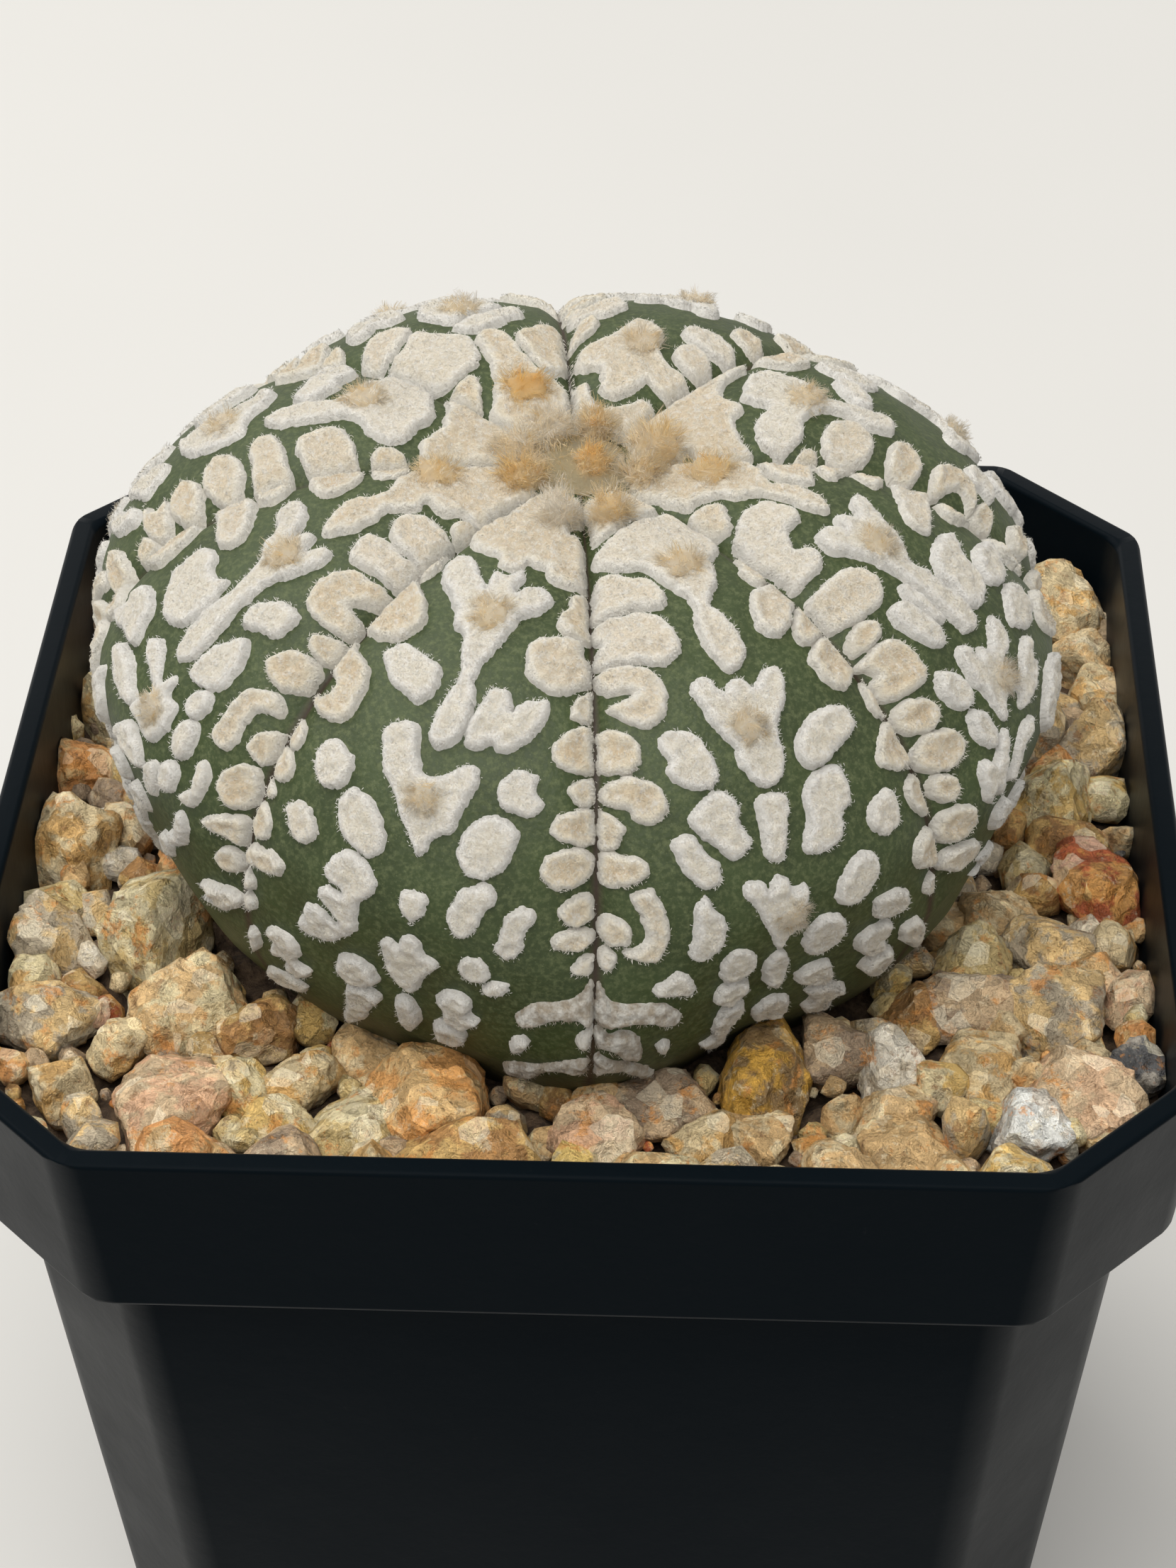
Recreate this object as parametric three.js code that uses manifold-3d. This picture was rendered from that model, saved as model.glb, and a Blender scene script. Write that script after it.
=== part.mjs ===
// Potted super kabuto star cactus: a square black pot with cut corners, potting mix, a gravel
// dressing, the eight-ribbed stem with its raised felt flecks, and the wool of its crown.
// Millimetres, +Z up. The origin is the centre of the pot's foot, and -Y is the front.
import * as THREE from 'three';
import { mergeVertices } from 'three/addons/utils/BufferGeometryUtils.js';
import Module from 'manifold-3d';

const wasm = await Module();
wasm.setup();

// Pot: heights, then half-widths across the flats and the legs of the corner cuts.
const POT_HEIGHT = 84;
const BAND_HEIGHT = 14.65;
const FLOOR_THICKNESS = 2;
const RIM = { half: 45, cut: 10.8 };
const BAND_FOOT = { half: 43.8, cut: 10.7 };
const BODY_TOP = { half: 40.7, cut: 9.1 };
const FOOT = { half: 34.3, cut: 7.7 };
const LIP_INSIDE = { half: 43.1, cut: 9.7 };
const LEDGE_TOP = { half: 42, cut: 9.6, z: 72.4 };
const LEDGE_FOOT = { half: 39.3, cut: 8.3, z: 70.9 };
const FLOOR_INSIDE = { half: 33, cut: 7 };
const DRAIN_RADIUS = 4;
const DRAIN_OFFSET = 19;
const DRAIN_SIDES = 10;

// Filling: the clear gap that separate pieces keep, and the levels below the rim.
const GAP = 0.35;
const MIX_TOP = 70;
const BED_DEPTH_FRONT = 5.3;
const BED_DEPTH_BACK = 8.8;
// Stones from large to small. Each draws its sizes, as shares of its radius, and its height over
// the bed between two limits.
const STONE_RADII = [4.5, 4, 3.6, 3.2, 2.8, 2.4];
const STONE_LENGTH = [0.9, 1.2];
const STONE_WIDTH = [1.1, 0.85];
const STONE_HEIGHT = [0.85, 1.1];
const STONE_LIFT = [-0.3, 0.9];
const STONE_TRIES = 420;
const STONE_SPACING = 0.8;
const STONE_SEED = 41;
const STONE_SEAT = 0.25;
const NEAREST_STONE = 33.5;
// Stones that the front shows: where each lies, then half of its width and of its height.
const SEEN_STONES = [
  [-43.2, 13.6, 1.3, 1.7], [-41.5, 7.4, 2.8, 2.6], [-40, -2.5, 3.9, 3.6], [-35.8, -0.6, 2.2, 2.5],
  [-34.3, -5.6, 1.6, 1.1], [-39.7, -14.7, 3.7, 3.7], [-32.2, -14.7, 4.5, 4.5], [-38.8, -23.8, 3.6, 3.1],
  [-34.5, -22.7, 1.6, 1.6], [-28.4, -23.2, 3.9, 3.9], [-23, -24.8, 2.8, 2.8], [-19.5, -23.6, 1.9, 2.1],
  [-32.6, -26.6, 2.3, 2.3], [-40.3, -29, 1.5, 1.3], [-36.3, -31, 2.5, 2], [-28.3, -33.7, 4.3, 3],
  [-34.3, -35.1, 1.8, 1.8], [-23.4, -32.2, 2.3, 2.3], [-19.5, -30.4, 2.8, 1.9], [-15.1, -26.2, 2.8, 1.8],
  [-20.3, -35.4, 2.5, 1.8], [-14.5, -34.9, 3.5, 2], [-9.6, -32.9, 4.3, 3.8], [-4.5, -34.5, 1.5, 2],
  [-14, -30, 1.5, 1.3], [-1.2, -35.7, 1.5, 1.2], [1.8, -35.5, 3.2, 2.2], [6.7, -31.8, 3.5, 2],
  [9.8, -35.4, 2.5, 1.7], [13.5, -34.5, 2.5, 1.5], [14, -29, 4.1, 4.2], [18.9, -26.1, 2.8, 2.8],
  [17.5, -36.1, 1.5, 1.1], [19.3, -33.3, 1.5, 2.3], [23.1, -28.3, 2.8, 2.8], [23.3, -32.7, 2.8, 1.8],
  [23.2, -36.2, 3.2, 2], [28, -34.5, 1.9, 3.2], [29.3, -27, 3.3, 1.9], [32.5, -34.1, 2.7, 2.5],
  [36.7, -29.9, 3.8, 3.3], [34.7, -20.7, 3.9, 3], [28, -20, 3.9, 2.6], [24.9, -21.7, 2.3, 2.3],
  [29.5, -14.9, 2.9, 2.6], [32.2, -9.4, 3, 2.2], [35.2, -13, 2.9, 2.7], [40, -12.7, 2.1, 2.4],
  [40.6, -18.5, 2.1, 2.1], [40.8, -23.3, 1.8, 1.5], [40.5, -26.7, 2.3, 2], [39.3, -7.6, 1.6, 2.7],
  [39.2, -5.2, 3.5, 3.5], [36.2, 4.9, 3.6, 3.6], [32.7, 1.5, 1.9, 2.2], [40.7, 12.9, 2.9, 3.4],
  [41, 20.7, 2.6, 1.8], [40.4, 26.4, 2.4, 3.3], [39.1, 33.4, 1.8, 2.1], [42.5, 33.7, 2.1, 1.5],
  [40.1, 39.5, 4.3, 2.5], [41.6, 1.5, 1.4, 1.7],
];

// Stem: an upper and a lower half of a globe about its widest level, with a sunken crown.
const STEM_RADIUS = 37.6;
const STEM_RISE = 24.6;
const STEM_DROP = 33;
const UPPER_POWER = 0.87;
const LOWER_POWER = 1.3;
const CROWN_SINK = 4;
const CROWN_SPREAD = 14;
// Across a groove: a wide bowl, and a crease at its bottom. Both fade out towards the crown.
const GROOVE_DEPTH = 2;
const GROOVE_FADE_RADIUS = 14;
const BOWL_SHARE = 0.62;
const BOWL_POWER = 2.4;
const CREASE_START = 0.84;
const CREASE_POWER = 1.3;
// Between two polar angles, in degrees, the grooves fade and the stem draws in towards its foot, by
// its own measure at each groove and at each crest.
const FOOT_DRAW = {
  start: 70,
  end: 93,
  grooves: [0.5, 2.3, 4.4, 3.2, 3.2, 3.2, 3.6, 2.3],
  crests: [3, 3.4, 2.4, 2.4, 2.4, 2.4, 3.1, 2.2],
};
const STEM_PLACE = { x: -1.2, y: 1.6, z: POT_HEIGHT + 6.5, leanX: 2, leanY: 2.3 };
// Where the eight grooves run, in degrees round the stem. Rib n lies between groove n and the next.
const GROOVES = [-85, -41, 6, 53, 96, 143, 187, 232];
const ROOT_RINGS = [
  { radius: 9, z: -33 },
  { radius: 5.5, z: -46 },
  { radius: 1.5, z: -62 },
];
const NECK_POLAR = 150;
// The room that other pieces leave the stem: rings from its neck to its crown, four points a rib.
const ROOM_RINGS = 20;
const ROOM_TOP_POLAR = 1.5;
const ROOM_SHARES = [-1, -0.5, 0, 0.5];

// Felt: how far the flecks stand out of the skin, and the bare skin kept round each.
const FLECK_LIFT = 0.65;
const FLECK_GAP = 0.3;
const SMALLEST_FLECK = 3.6;
const SMALLEST_SIDE = 0.6;
const SHRINK_STEPS = [1, 0.88, 0.76, 0.64];
const TUFT = { radius: 1.5, waist: 0.72, height: 1.8, sides: 6 };
const TUFT_SPACING = 7;
const NUDGE_SEED = 7;
// Crown wool: one middle dome, and a tuft at the head of each rib, low and tall by turns.
const WOOL = { radius: 5.4, height: 3.4, sides: 8, rings: 5, spread: 14 };
const HEAD_TUFT_RADIUS = 2;
const HEAD_TUFT_LIFT = 0.6;
const HEAD_TUFTS = [{ along: 4.8, height: 2.7 }, { along: 4.2, height: 3.4 }];

// The felted part of the stem, along the ribs from the crown. Each groove is a crease between
// the edges of two ribs, and the flecks stop short of it.
const FELT_START = 7.8;
const FELT_END = 56.4;
const FELT_LEVELS = 14;
const RIB_EDGE = 0.9;
const FLECK_EDGE = 0.855;
const EDGE_SHARES = [-RIB_EDGE, -0.45, 0, 0.45, RIB_EDGE];
const LOWER_POLARS = [122, 136, 150];
const OUTLINE_STEPS = 600;
const SLOPE_STEP = 0.001;
const FLIP_PASSES = 60;

// Outlines of the simple flecks in a unit box: across to the right, along towards the base.
const OVAL = [[0, -0.5], [0.45, -0.24], [0.44, 0.26], [0, 0.5], [-0.46, 0.22], [-0.42, -0.28]];
const BEAN = [[-0.3, -0.5], [0.35, -0.42], [0.5, 0.1], [0.1, 0.5], [-0.5, 0.42], [-0.1, 0.08]];
const HOOK = [
  [-0.5, -0.28], [0, -0.5], [0.46, -0.3], [0.5, 0.22], [0.05, 0.5], [-0.45, 0.36], [-0.36, 0.14],
  [0.06, 0.1], [0.04, -0.12],
];
const LOBED = [
  [-0.5, -0.22], [-0.26, -0.5], [0.02, -0.18], [0.28, -0.5], [0.5, -0.16], [0.34, 0.4],
  [-0.02, 0.28], [-0.34, 0.5],
];

// Flecks of each rib as read from the plant. A simple fleck is its outline's name, its place along
// the rib from the crown and across it from the crest, its length, its width and its turn.
// A patch is a full outline of [across, along] points. Tufts stand at [along, across]. The front
// shows each rib's left and right half down to the given places along it.
const RIBS = [
  { // Front right.
    seen: [99, 99],
    tufts: [[15, 1.4], [28.6, 0.4], [42, -0.4]],
    patches: [
      [[-3.6, 11], [-1.8, 8.8], [0.8, 8.4], [3.2, 9.6], [4.6, 12.6], [3.2, 14.4], [2.8, 16.6],
        [1.8, 18.4], [0.9, 19.4], [-0.3, 17.4], [-1.4, 14.6], [-3.9, 12.6]],
      [[-3, 25.2], [-1.8, 24.6], [-0.8, 26.4], [0.2, 25.4], [1.2, 26.6], [2.2, 25], [3.6, 25.2],
        [2.2, 29.2], [1.6, 31.6], [0.3, 33.1], [-0.9, 32.6], [-1.7, 30]],
      [[-3.5, 39.8], [-2.4, 39.2], [-1.4, 40.6], [-0.6, 39.3], [0, 40.4], [1.2, 40.2], [1.1, 42.6],
        [-0.8, 44.4], [-1.8, 42.8]],
    ],
    flecks: [
      [OVAL, 22.1, 0.8, 5.4, 2.6, 4], [OVAL, 16, -3.8, 4.8, 4.8, 20], [OVAL, 20.6, -4.5, 4.6, 5, 0],
      [HOOK, 25.1, -6.5, 5.2, 4.8, 0], [OVAL, 29, -9.4, 3, 3.2, 0], [BEAN, 32.5, -9, 3.6, 4, 0],
      [OVAL, 34.6, -11.6, 2.5, 2.6, 0], [OVAL, 37.4, -11.1, 2.5, 3.3, 0],
      [OVAL, 42.1, -12.4, 2.8, 2.2, 0], [OVAL, 44.8, -13.3, 2.4, 1.9, 0],
      [OVAL, 46.7, -12.8, 1.8, 2, 0], [OVAL, 16.4, 6, 3, 1.8, 0], [OVAL, 20.8, 5.9, 4.7, 4.1, 30],
      [OVAL, 23.2, 8, 2.8, 3.6, -10], [OVAL, 26.7, 8.7, 4.2, 4, 0], [BEAN, 30.3, 11.1, 2.6, 1.9, 0],
      [OVAL, 34.1, 11.1, 3.7, 3.9, 0], [OVAL, 38.4, 12.4, 2.8, 2.2, 0], [OVAL, 42.5, 12.5, 3, 3.2, 0],
      [OVAL, 46, 13, 2, 2.4, 0], [OVAL, 50, 12, 3.4, 3.6, 30], [OVAL, 30.3, -4.8, 4.5, 3.5, -15],
      [OVAL, 31.2, 5.6, 3.4, 5.2, -12], [OVAL, 35, -4, 4.8, 3.6, -8],
      [OVAL, 37.4, -6.2, 4, 3, -24], [LOBED, 35.9, 0, 5, 2.4, 0], [BEAN, 36, 3.9, 5.4, 4.2, 12],
      [OVAL, 38.2, 8.2, 3, 3, 0], [HOOK, 41.9, -10.4, 5.4, 3, 0], [BEAN, 42.6, -6.3, 5.2, 2.8, 14],
      [OVAL, 41.8, 5.3, 3.8, 3.8, 0], [OVAL, 46.7, -3.9, 3.7, 2.9, -12], [OVAL, 46.2, 3.1, 4.4, 3.6, 0],
      [OVAL, 46, 9, 3, 4, 20], [BEAN, 47.2, -8.7, 2.4, 3.2, 0], [OVAL, 49.1, -0.5, 5.4, 2, 0],
      [OVAL, 50.1, -3.9, 3.2, 2.9, 0], [OVAL, 49.8, 8.2, 4.1, 3.2, 0], [BEAN, 51.6, 3.5, 4, 3.4, 0],
      [BEAN, 49.6, -10.6, 2, 6, 16], [OVAL, 53.9, 9.6, 3.8, 3, 0], [BEAN, 54.2, -3.8, 4, 2.6, 10],
      [OVAL, 54.8, 0.2, 2.8, 3.2, 0], [OVAL, 52.8, -12, 3, 2.4, -30],
    ],
  },
  { // Right.
    seen: [99, 33],
    tufts: [[10, 1.4], [23.6, 0.9], [37.6, -0.2]],
    patches: [
      [[0.2, 9], [1.8, 8.4], [3.4, 9.6], [4.2, 11.6], [3.5, 12.8], [3.3, 15], [3.7, 17.2],
        [2.4, 19.4], [1.6, 18.6], [1.2, 12.8]],
      [[-2.4, 20.4], [-1.2, 19.4], [0.1, 19.9], [0.6, 21.4], [1.6, 20], [2.6, 20.6], [2.7, 22.2],
        [4.2, 20.6], [5.2, 21.4], [2.5, 25.4], [1.5, 27.2], [2.3, 30], [2, 33], [0.8, 33.8],
        [-0.8, 33.2], [0.2, 27.8], [-0.6, 24.6]],
      [[-3.6, 33.8], [-2, 33], [-1.1, 35.2], [0.2, 34.8], [1, 36.4], [2.6, 35], [4.2, 34.8],
        [2.4, 38], [3.4, 39.4], [6.8, 38.2], [7, 40.6], [4.6, 42.2], [1.6, 41.6], [0.8, 40],
        [-3.2, 38.8]],
    ],
    flecks: [
      [BEAN, 11.5, -2.3, 2.8, 3.2, 0], [LOBED, 15.9, -2.9, 5, 7.6, 160], [OVAL, 19.7, -5.2, 3, 4.4, 0],
      [OVAL, 23.8, -5.2, 4.2, 6, 8], [OVAL, 26.4, -7.8, 2.2, 2.8, 0], [BEAN, 29.8, -8.5, 4.4, 4.4, 0],
      [OVAL, 33.4, -10.2, 2.7, 3.4, 0], [OVAL, 36.7, -10.2, 3.3, 3.9, 0],
      [OVAL, 38.9, -11.9, 2.6, 2.8, 0], [OVAL, 42.2, -11.9, 2.8, 3.4, 10],
      [OVAL, 45.3, -11.8, 2.3, 4.3, 10], [OVAL, 47.7, -12.5, 2, 3, 0], [OVAL, 15.8, 5.8, 3.4, 3.4, 0],
      [OVAL, 18.8, 7, 1.8, 1.8, 0], [OVAL, 25.3, 8, 3.2, 5.6, 8], [OVAL, 31.4, 10, 3, 5.4, 8],
      [LOBED, 29.3, -3.1, 5.2, 4.4, 0], [OVAL, 30.6, 4.9, 5.6, 4.4, 24],
      [OVAL, 34.3, -5.8, 3.7, 2.8, 0], [OVAL, 38.5, -5.3, 4, 2.8, 0], [OVAL, 36.5, 8, 3.6, 5, 0],
      [BEAN, 41.6, -8, 3.6, 1.9, 0], [LOBED, 41.8, -4.4, 3.4, 4.4, 20],
      [OVAL, 43.6, 0.2, 1.6, 6.4, 0], [OVAL, 45.5, -7.7, 3.5, 2.5, -20], [OVAL, 47, -3, 2.6, 3, 0],
      [OVAL, 46.6, 4, 2.4, 3.4, 0], [BEAN, 50, -8, 2, 4, 0], [OVAL, 50.4, -1, 2, 3, 0],
    ],
  },
  { // Back right.
    seen: [28, 22],
    tufts: [[9.4, -0.4], [18.6, 0.8]],
    patches: [
      [[-4.6, 15.4], [-3.4, 13.6], [-1.4, 13.6], [0.4, 16.2], [1.4, 15], [2.8, 15.4], [3, 17],
        [4.6, 17.2], [5, 18.8], [3.4, 20.2], [1, 20.6], [-0.6, 22.8], [-2, 25.2], [-3.4, 24.6],
        [-1.2, 20.4], [-1.2, 18.8]],
    ],
    flecks: [
      [LOBED, 10.8, -0.2, 3.4, 5.6, 180], [OVAL, 12.2, 3.4, 3, 2.2, 0], [OVAL, 20.8, -4.9, 4.4, 4.8, 0],
      [OVAL, 16.8, -6, 2.6, 2.4, 0], [OVAL, 25, -6.6, 2.8, 4, 0], [BEAN, 29.6, -8.6, 4, 3.6, 0],
      [OVAL, 15.4, 6, 3, 2, 0], [OVAL, 20, 7.4, 3.4, 2.6, 20],
    ],
  },
  { // Back, right of the rear groove.
    seen: [22, 19],
    tufts: [[15.5, 0.3]],
    patches: [
      [[-1.6, 11], [-1, 9.2], [0.4, 8.8], [1.6, 9.6], [2.1, 11.6], [3.4, 11.8], [4.7, 13],
        [4.5, 15.4], [3, 17.6], [2.4, 19.4], [0.6, 19.6], [-0.8, 18], [-1.4, 15.6], [-3.8, 13.6],
        [-3.8, 11.4], [-2.8, 10.6]],
    ],
    flecks: [
      [OVAL, 16.4, -4, 3.2, 3.6, 0], [OVAL, 19.9, -4, 3.6, 4.6, 0], [OVAL, 23, -6.4, 2.8, 2.6, 0],
      [OVAL, 17.6, 5.4, 4.4, 2, 10],
    ],
  },
  { // Back, left of the rear groove.
    seen: [20, 25],
    tufts: [[9.6, -0.6], [22.5, -1]],
    patches: [
      [[-2.6, 9.8], [-1.4, 8.4], [0.6, 8.4], [1.6, 9.8], [1.2, 12], [0.2, 14], [0.1, 17],
        [-0.8, 19], [-2, 18.8], [-2.3, 15.4], [-3, 13.2]],
      [[-4.4, 21.4], [-1.6, 20], [-0.4, 21], [0.8, 20.4], [2, 23.4], [0.6, 26.6], [-1.6, 27.4],
        [-3, 25]],
    ],
    flecks: [
      [OVAL, 11.8, 3, 3.6, 2, 10], [BEAN, 16.9, 2.9, 5.4, 4.8, 0], [OVAL, 15.8, -4, 5.2, 3, 14],
      [LOBED, 22.4, 5.2, 5, 4, 150], [BEAN, 18.6, 6.4, 2.4, 2, 0],
    ],
  },
  { // Back left.
    seen: [22, 34],
    tufts: [[9.2, 0.4], [17, -2], [28.4, 1.2]],
    patches: [
      [[-5.4, 14.2], [-4.6, 12.8], [-2.4, 12.6], [-1, 13.6], [0.4, 12.6], [2.2, 13.2], [2.8, 15.2],
        [0.8, 16.8], [0.6, 18.8], [1.2, 23.8], [-0.4, 24.8], [-1.6, 20.2], [-4, 19.6], [-5.4, 18]],
      [[-4, 26.2], [-1.6, 25.2], [0.4, 25.8], [2.8, 25.6], [3.9, 28], [3.4, 30.6], [1, 32.4],
        [-1, 30], [-1.8, 28]],
    ],
    flecks: [
      [LOBED, 10.2, -0.4, 3.2, 5.4, 180], [OVAL, 14.2, 4.4, 4, 3, 0], [OVAL, 18.1, 4.3, 3.4, 4.6, 0],
      [OVAL, 21.9, 2.2, 3, 2.8, 0], [OVAL, 23.6, 5.4, 3.6, 4.6, -20], [HOOK, 27.2, 6.2, 4, 4, 180],
      [OVAL, 30.1, 8, 2.8, 4, 0], [BEAN, 33.1, 8.4, 3.2, 4.4, 0], [OVAL, 23.4, -5.2, 3.2, 6.6, -14],
    ],
  },
  { // Left.
    seen: [33, 99],
    tufts: [[10.6, -1.8], [24, 0.2], [37.6, 1.8]],
    patches: [
      [[-3.8, 11.6], [-3.2, 9.6], [-1.2, 8.4], [1.4, 8.4], [2.6, 9.8], [0.6, 12.6], [0.7, 17.6],
        [0, 20.2], [-1.2, 19.8], [-2.4, 17.2], [-2.2, 14.8], [-4.4, 13.4]],
      [[-5.6, 21.2], [-4.4, 20.6], [-0.9, 22], [-0.2, 21], [0.8, 22.2], [1.6, 20.8], [2.5, 21.6],
        [1.6, 25.8], [1.9, 31], [1.5, 34], [0.3, 33.8], [-0.7, 31], [-0.5, 28.4], [-1, 25.6],
        [-5.2, 22.8]],
      [[-3.2, 34.8], [-2, 34.2], [0.4, 36], [1.4, 34.8], [2.4, 36.2], [3.7, 36.8], [3.8, 39.4],
        [1.2, 40.2], [-0.4, 39.6], [-0.2, 37.6]],
    ],
    flecks: [
      [LOBED, 15.2, 3.5, 4.4, 5.2, 90], [OVAL, 18.7, 4.3, 3.2, 5.6, 0], [HOOK, 22.8, 6.1, 5, 4.8, 180],
      [OVAL, 26.6, 8.7, 2, 2.8, 0], [OVAL, 29.2, 8.4, 3.4, 4.2, 0], [HOOK, 33.9, 8.8, 5.4, 3.6, 180],
      [OVAL, 32.8, 12.4, 2, 2.2, 0], [OVAL, 34.8, 11.9, 2.6, 3, 0], [OVAL, 38.1, 11.7, 3.7, 3.5, 0],
      [OVAL, 41.5, 12, 2.4, 4, 0], [OVAL, 44.3, 12.9, 2, 2, 0], [OVAL, 48.4, 12.4, 2.1, 3, 0],
      [OVAL, 17.8, -5.6, 3.6, 3, 0], [OVAL, 26.1, -7.7, 3.4, 6.4, 6], [LOBED, 30.7, -3.9, 5.2, 6.2, 0],
      [OVAL, 27.2, 4, 3.6, 3.8, 20], [OVAL, 31.8, 4.1, 4.8, 3.4, 0], [OVAL, 35.3, 5, 2.6, 2, 0],
      [OVAL, 37.9, 5.7, 3.8, 2.5, 0], [OVAL, 40.1, 8.4, 3.4, 1.9, 0], [OVAL, 38.6, -4.2, 2.8, 6.6, -6],
      [OVAL, 41.2, 0.4, 2.4, 4.8, -16], [OVAL, 41.1, 5.7, 2.6, 2, 0], [OVAL, 42, 4.2, 3, 2.2, 20],
      [OVAL, 44, 1.9, 2.2, 3.8, 0], [BEAN, 44.5, 8.2, 4.2, 2.3, 0], [OVAL, 45.4, 10.7, 1.4, 1.6, 0],
      [LOBED, 49.2, 9.8, 3.2, 2.3, 0], [OVAL, 47.4, 4, 2.6, 2.4, 0], [OVAL, 47.6, -0.6, 2.2, 3.2, 0],
    ],
  },
  { // Front left.
    seen: [99, 99],
    tufts: [[18.6, 0], [34, 0.3], [45.6, 0.9]],
    patches: [
      [[-2.4, 9.2], [0, 8.5], [2.4, 9.2], [4.2, 12.2], [4.2, 14.4], [2.4, 14.4], [1.3, 13.1],
        [0.6, 14.3], [-0.5, 14.4], [-1.1, 13], [-2.8, 13.6], [-4.1, 12]],
      [[-5.2, 15], [-3.8, 14.6], [-1.6, 17.2], [-0.9, 15.2], [1, 15], [1.2, 17.4], [2.4, 16],
        [3.6, 16.8], [1.8, 20.4], [0.8, 23.6], [1.1, 27], [0.6, 29.8], [-0.6, 29.8], [-0.9, 27],
        [-0.4, 23.6], [-2.2, 20.5]],
      [[-4, 29.6], [-2.8, 29], [-1.4, 31.8], [-0.4, 32.6], [1.6, 31.2], [2.8, 31], [3.1, 32.6],
        [1.7, 36], [0.3, 37.8], [-1.6, 35.4]],
      [[-1.5, 45.6], [-0.9, 44.8], [0.1, 44.5], [0.9, 43.9], [1.8, 45.2], [2.8, 46.4], [1.8, 48],
        [1.1, 49.8], [0.3, 50.2], [-1.2, 48]],
    ],
    flecks: [
      [OVAL, 20.9, -6.2, 5.4, 4.4, 14], [HOOK, 28.1, -8.7, 5.6, 4, 0], [OVAL, 32.3, -11.4, 2, 2, 0],
      [OVAL, 35.4, -11, 2.8, 2.6, 0], [OVAL, 39.6, -12.3, 3, 2.8, 0], [OVAL, 42.3, -11.8, 1.9, 3.9, 6],
      [OVAL, 45.4, -12.6, 2.2, 2.4, 0], [OVAL, 15.8, 5.4, 2.2, 2.4, 0], [OVAL, 18.4, 5.9, 3, 2.8, 0],
      [HOOK, 22.4, 6, 5, 5, 180], [OVAL, 26, 8.8, 2.2, 2.3, 0], [BEAN, 28.8, 9.3, 3.4, 3.8, 180],
      [OVAL, 31.6, 10.8, 2, 2.8, 0], [OVAL, 34.4, 10.6, 3, 3.8, 0], [OVAL, 37.5, 9.9, 3, 2.9, 0],
      [OVAL, 40.6, 12, 2.3, 2.6, 0], [OVAL, 42.9, 12, 1.8, 2.6, 0], [OVAL, 45, 12.8, 2, 2, 0],
      [OVAL, 25.5, -4, 3.4, 4.8, 20], [LOBED, 27.4, 4.1, 4.4, 4.6, 0], [OVAL, 33.6, -7, 3.4, 3.2, 0],
      [LOBED, 32.3, 6.4, 3, 3.3, 110], [OVAL, 36.6, -4.1, 4.3, 3.9, -20], [OVAL, 36.4, 5, 4.7, 3.8, 14],
      [OVAL, 38.5, -8.5, 2.7, 3.3, 14], [HOOK, 41.9, -4, 5, 4, 180], [BEAN, 46, -6.2, 2.8, 4.4, -16],
      [OVAL, 41.3, 0.8, 2.5, 1.8, 0], [OVAL, 40.9, 4.6, 3.8, 2.8, 24], [BEAN, 42.2, 8, 3.9, 2.4, 20],
      [OVAL, 45.9, 5.4, 2.4, 2.3, 0], [OVAL, 45.9, 10.2, 2.2, 2, 0], [OVAL, 47.6, 7.2, 1.8, 2.6, -20],
      [OVAL, 49.8, -3.8, 3.6, 3.3, 0], [HOOK, 50.6, -10.2, 4, 3.4, 0], [LOBED, 51.2, 4.2, 4.2, 3.2, 0],
      [BEAN, 49.4, 10.8, 2, 5, 166], [BEAN, 54.2, -3.8, 4, 2.8, 20], [OVAL, 53.8, 0.1, 4, 1.8, 0],
      [OVAL, 54.9, 3.2, 2.4, 2.6, 0], [OVAL, 54.8, 10.4, 2, 4, -24],
    ],
  },
];
// The side that the front doesn't show: each rib there takes its lower flecks from a front rib,
// turned over or not.
const LENDERS = {
  1: [0, true], 2: [7, true], 3: [0, false], 4: [7, false], 5: [0, true], 6: [0, false],
};

/** Seeded draws from 0 to 1, the same each time. */
function seededDraws(seed) {
  let state = seed;
  return () => {
    state = (state * 1664525 + 1013904223) % 4294967296;
    return state / 4294967296;
  };
}

/** A closed geometry becomes a solid that can be joined and cut. */
function solid(geometry) {
  const bare = geometry.clone();
  bare.deleteAttribute('normal');
  bare.deleteAttribute('uv');
  const merged = mergeVertices(bare, 1e-4);
  const vertProperties = new Float32Array(merged.attributes.position.array);
  const triVerts = new Uint32Array(merged.index.array);
  return new wasm.Manifold(new wasm.Mesh({ numProp: 3, vertProperties, triVerts }));
}

/** A joined or cut solid becomes a geometry again. */
function geometryOf(body) {
  const mesh = body.getMesh();
  const geometry = new THREE.BufferGeometry();
  geometry.setAttribute('position', new THREE.BufferAttribute(new Float32Array(mesh.vertProperties), 3));
  geometry.setIndex(Array.from(mesh.triVerts));
  geometry.computeVertexNormals();
  return geometry;
}

/** A closed body over rings with the same number of points, flat or pointed at its two ends. */
function loft(rings) {
  const count = rings[0].length;
  const positions = rings.flat().flatMap((p) => [p.x, p.y, p.z]);
  const index = [];
  for (let ring = 0; ring + 1 < rings.length; ring += 1) {
    for (let i = 0; i < count; i += 1) {
      const a = ring * count + i;
      const b = ring * count + (i + 1) % count;
      index.push(a, b, a + count, b, b + count, a + count);
    }
  }
  const last = (rings.length - 1) * count;
  for (let i = 1; i + 1 < count; i += 1) {
    index.push(0, i + 1, i, last, last + i, last + i + 1);
  }
  const geometry = new THREE.BufferGeometry();
  geometry.setAttribute('position', new THREE.Float32BufferAttribute(positions, 3));
  geometry.setIndex(index);
  return geometry;
}

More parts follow.
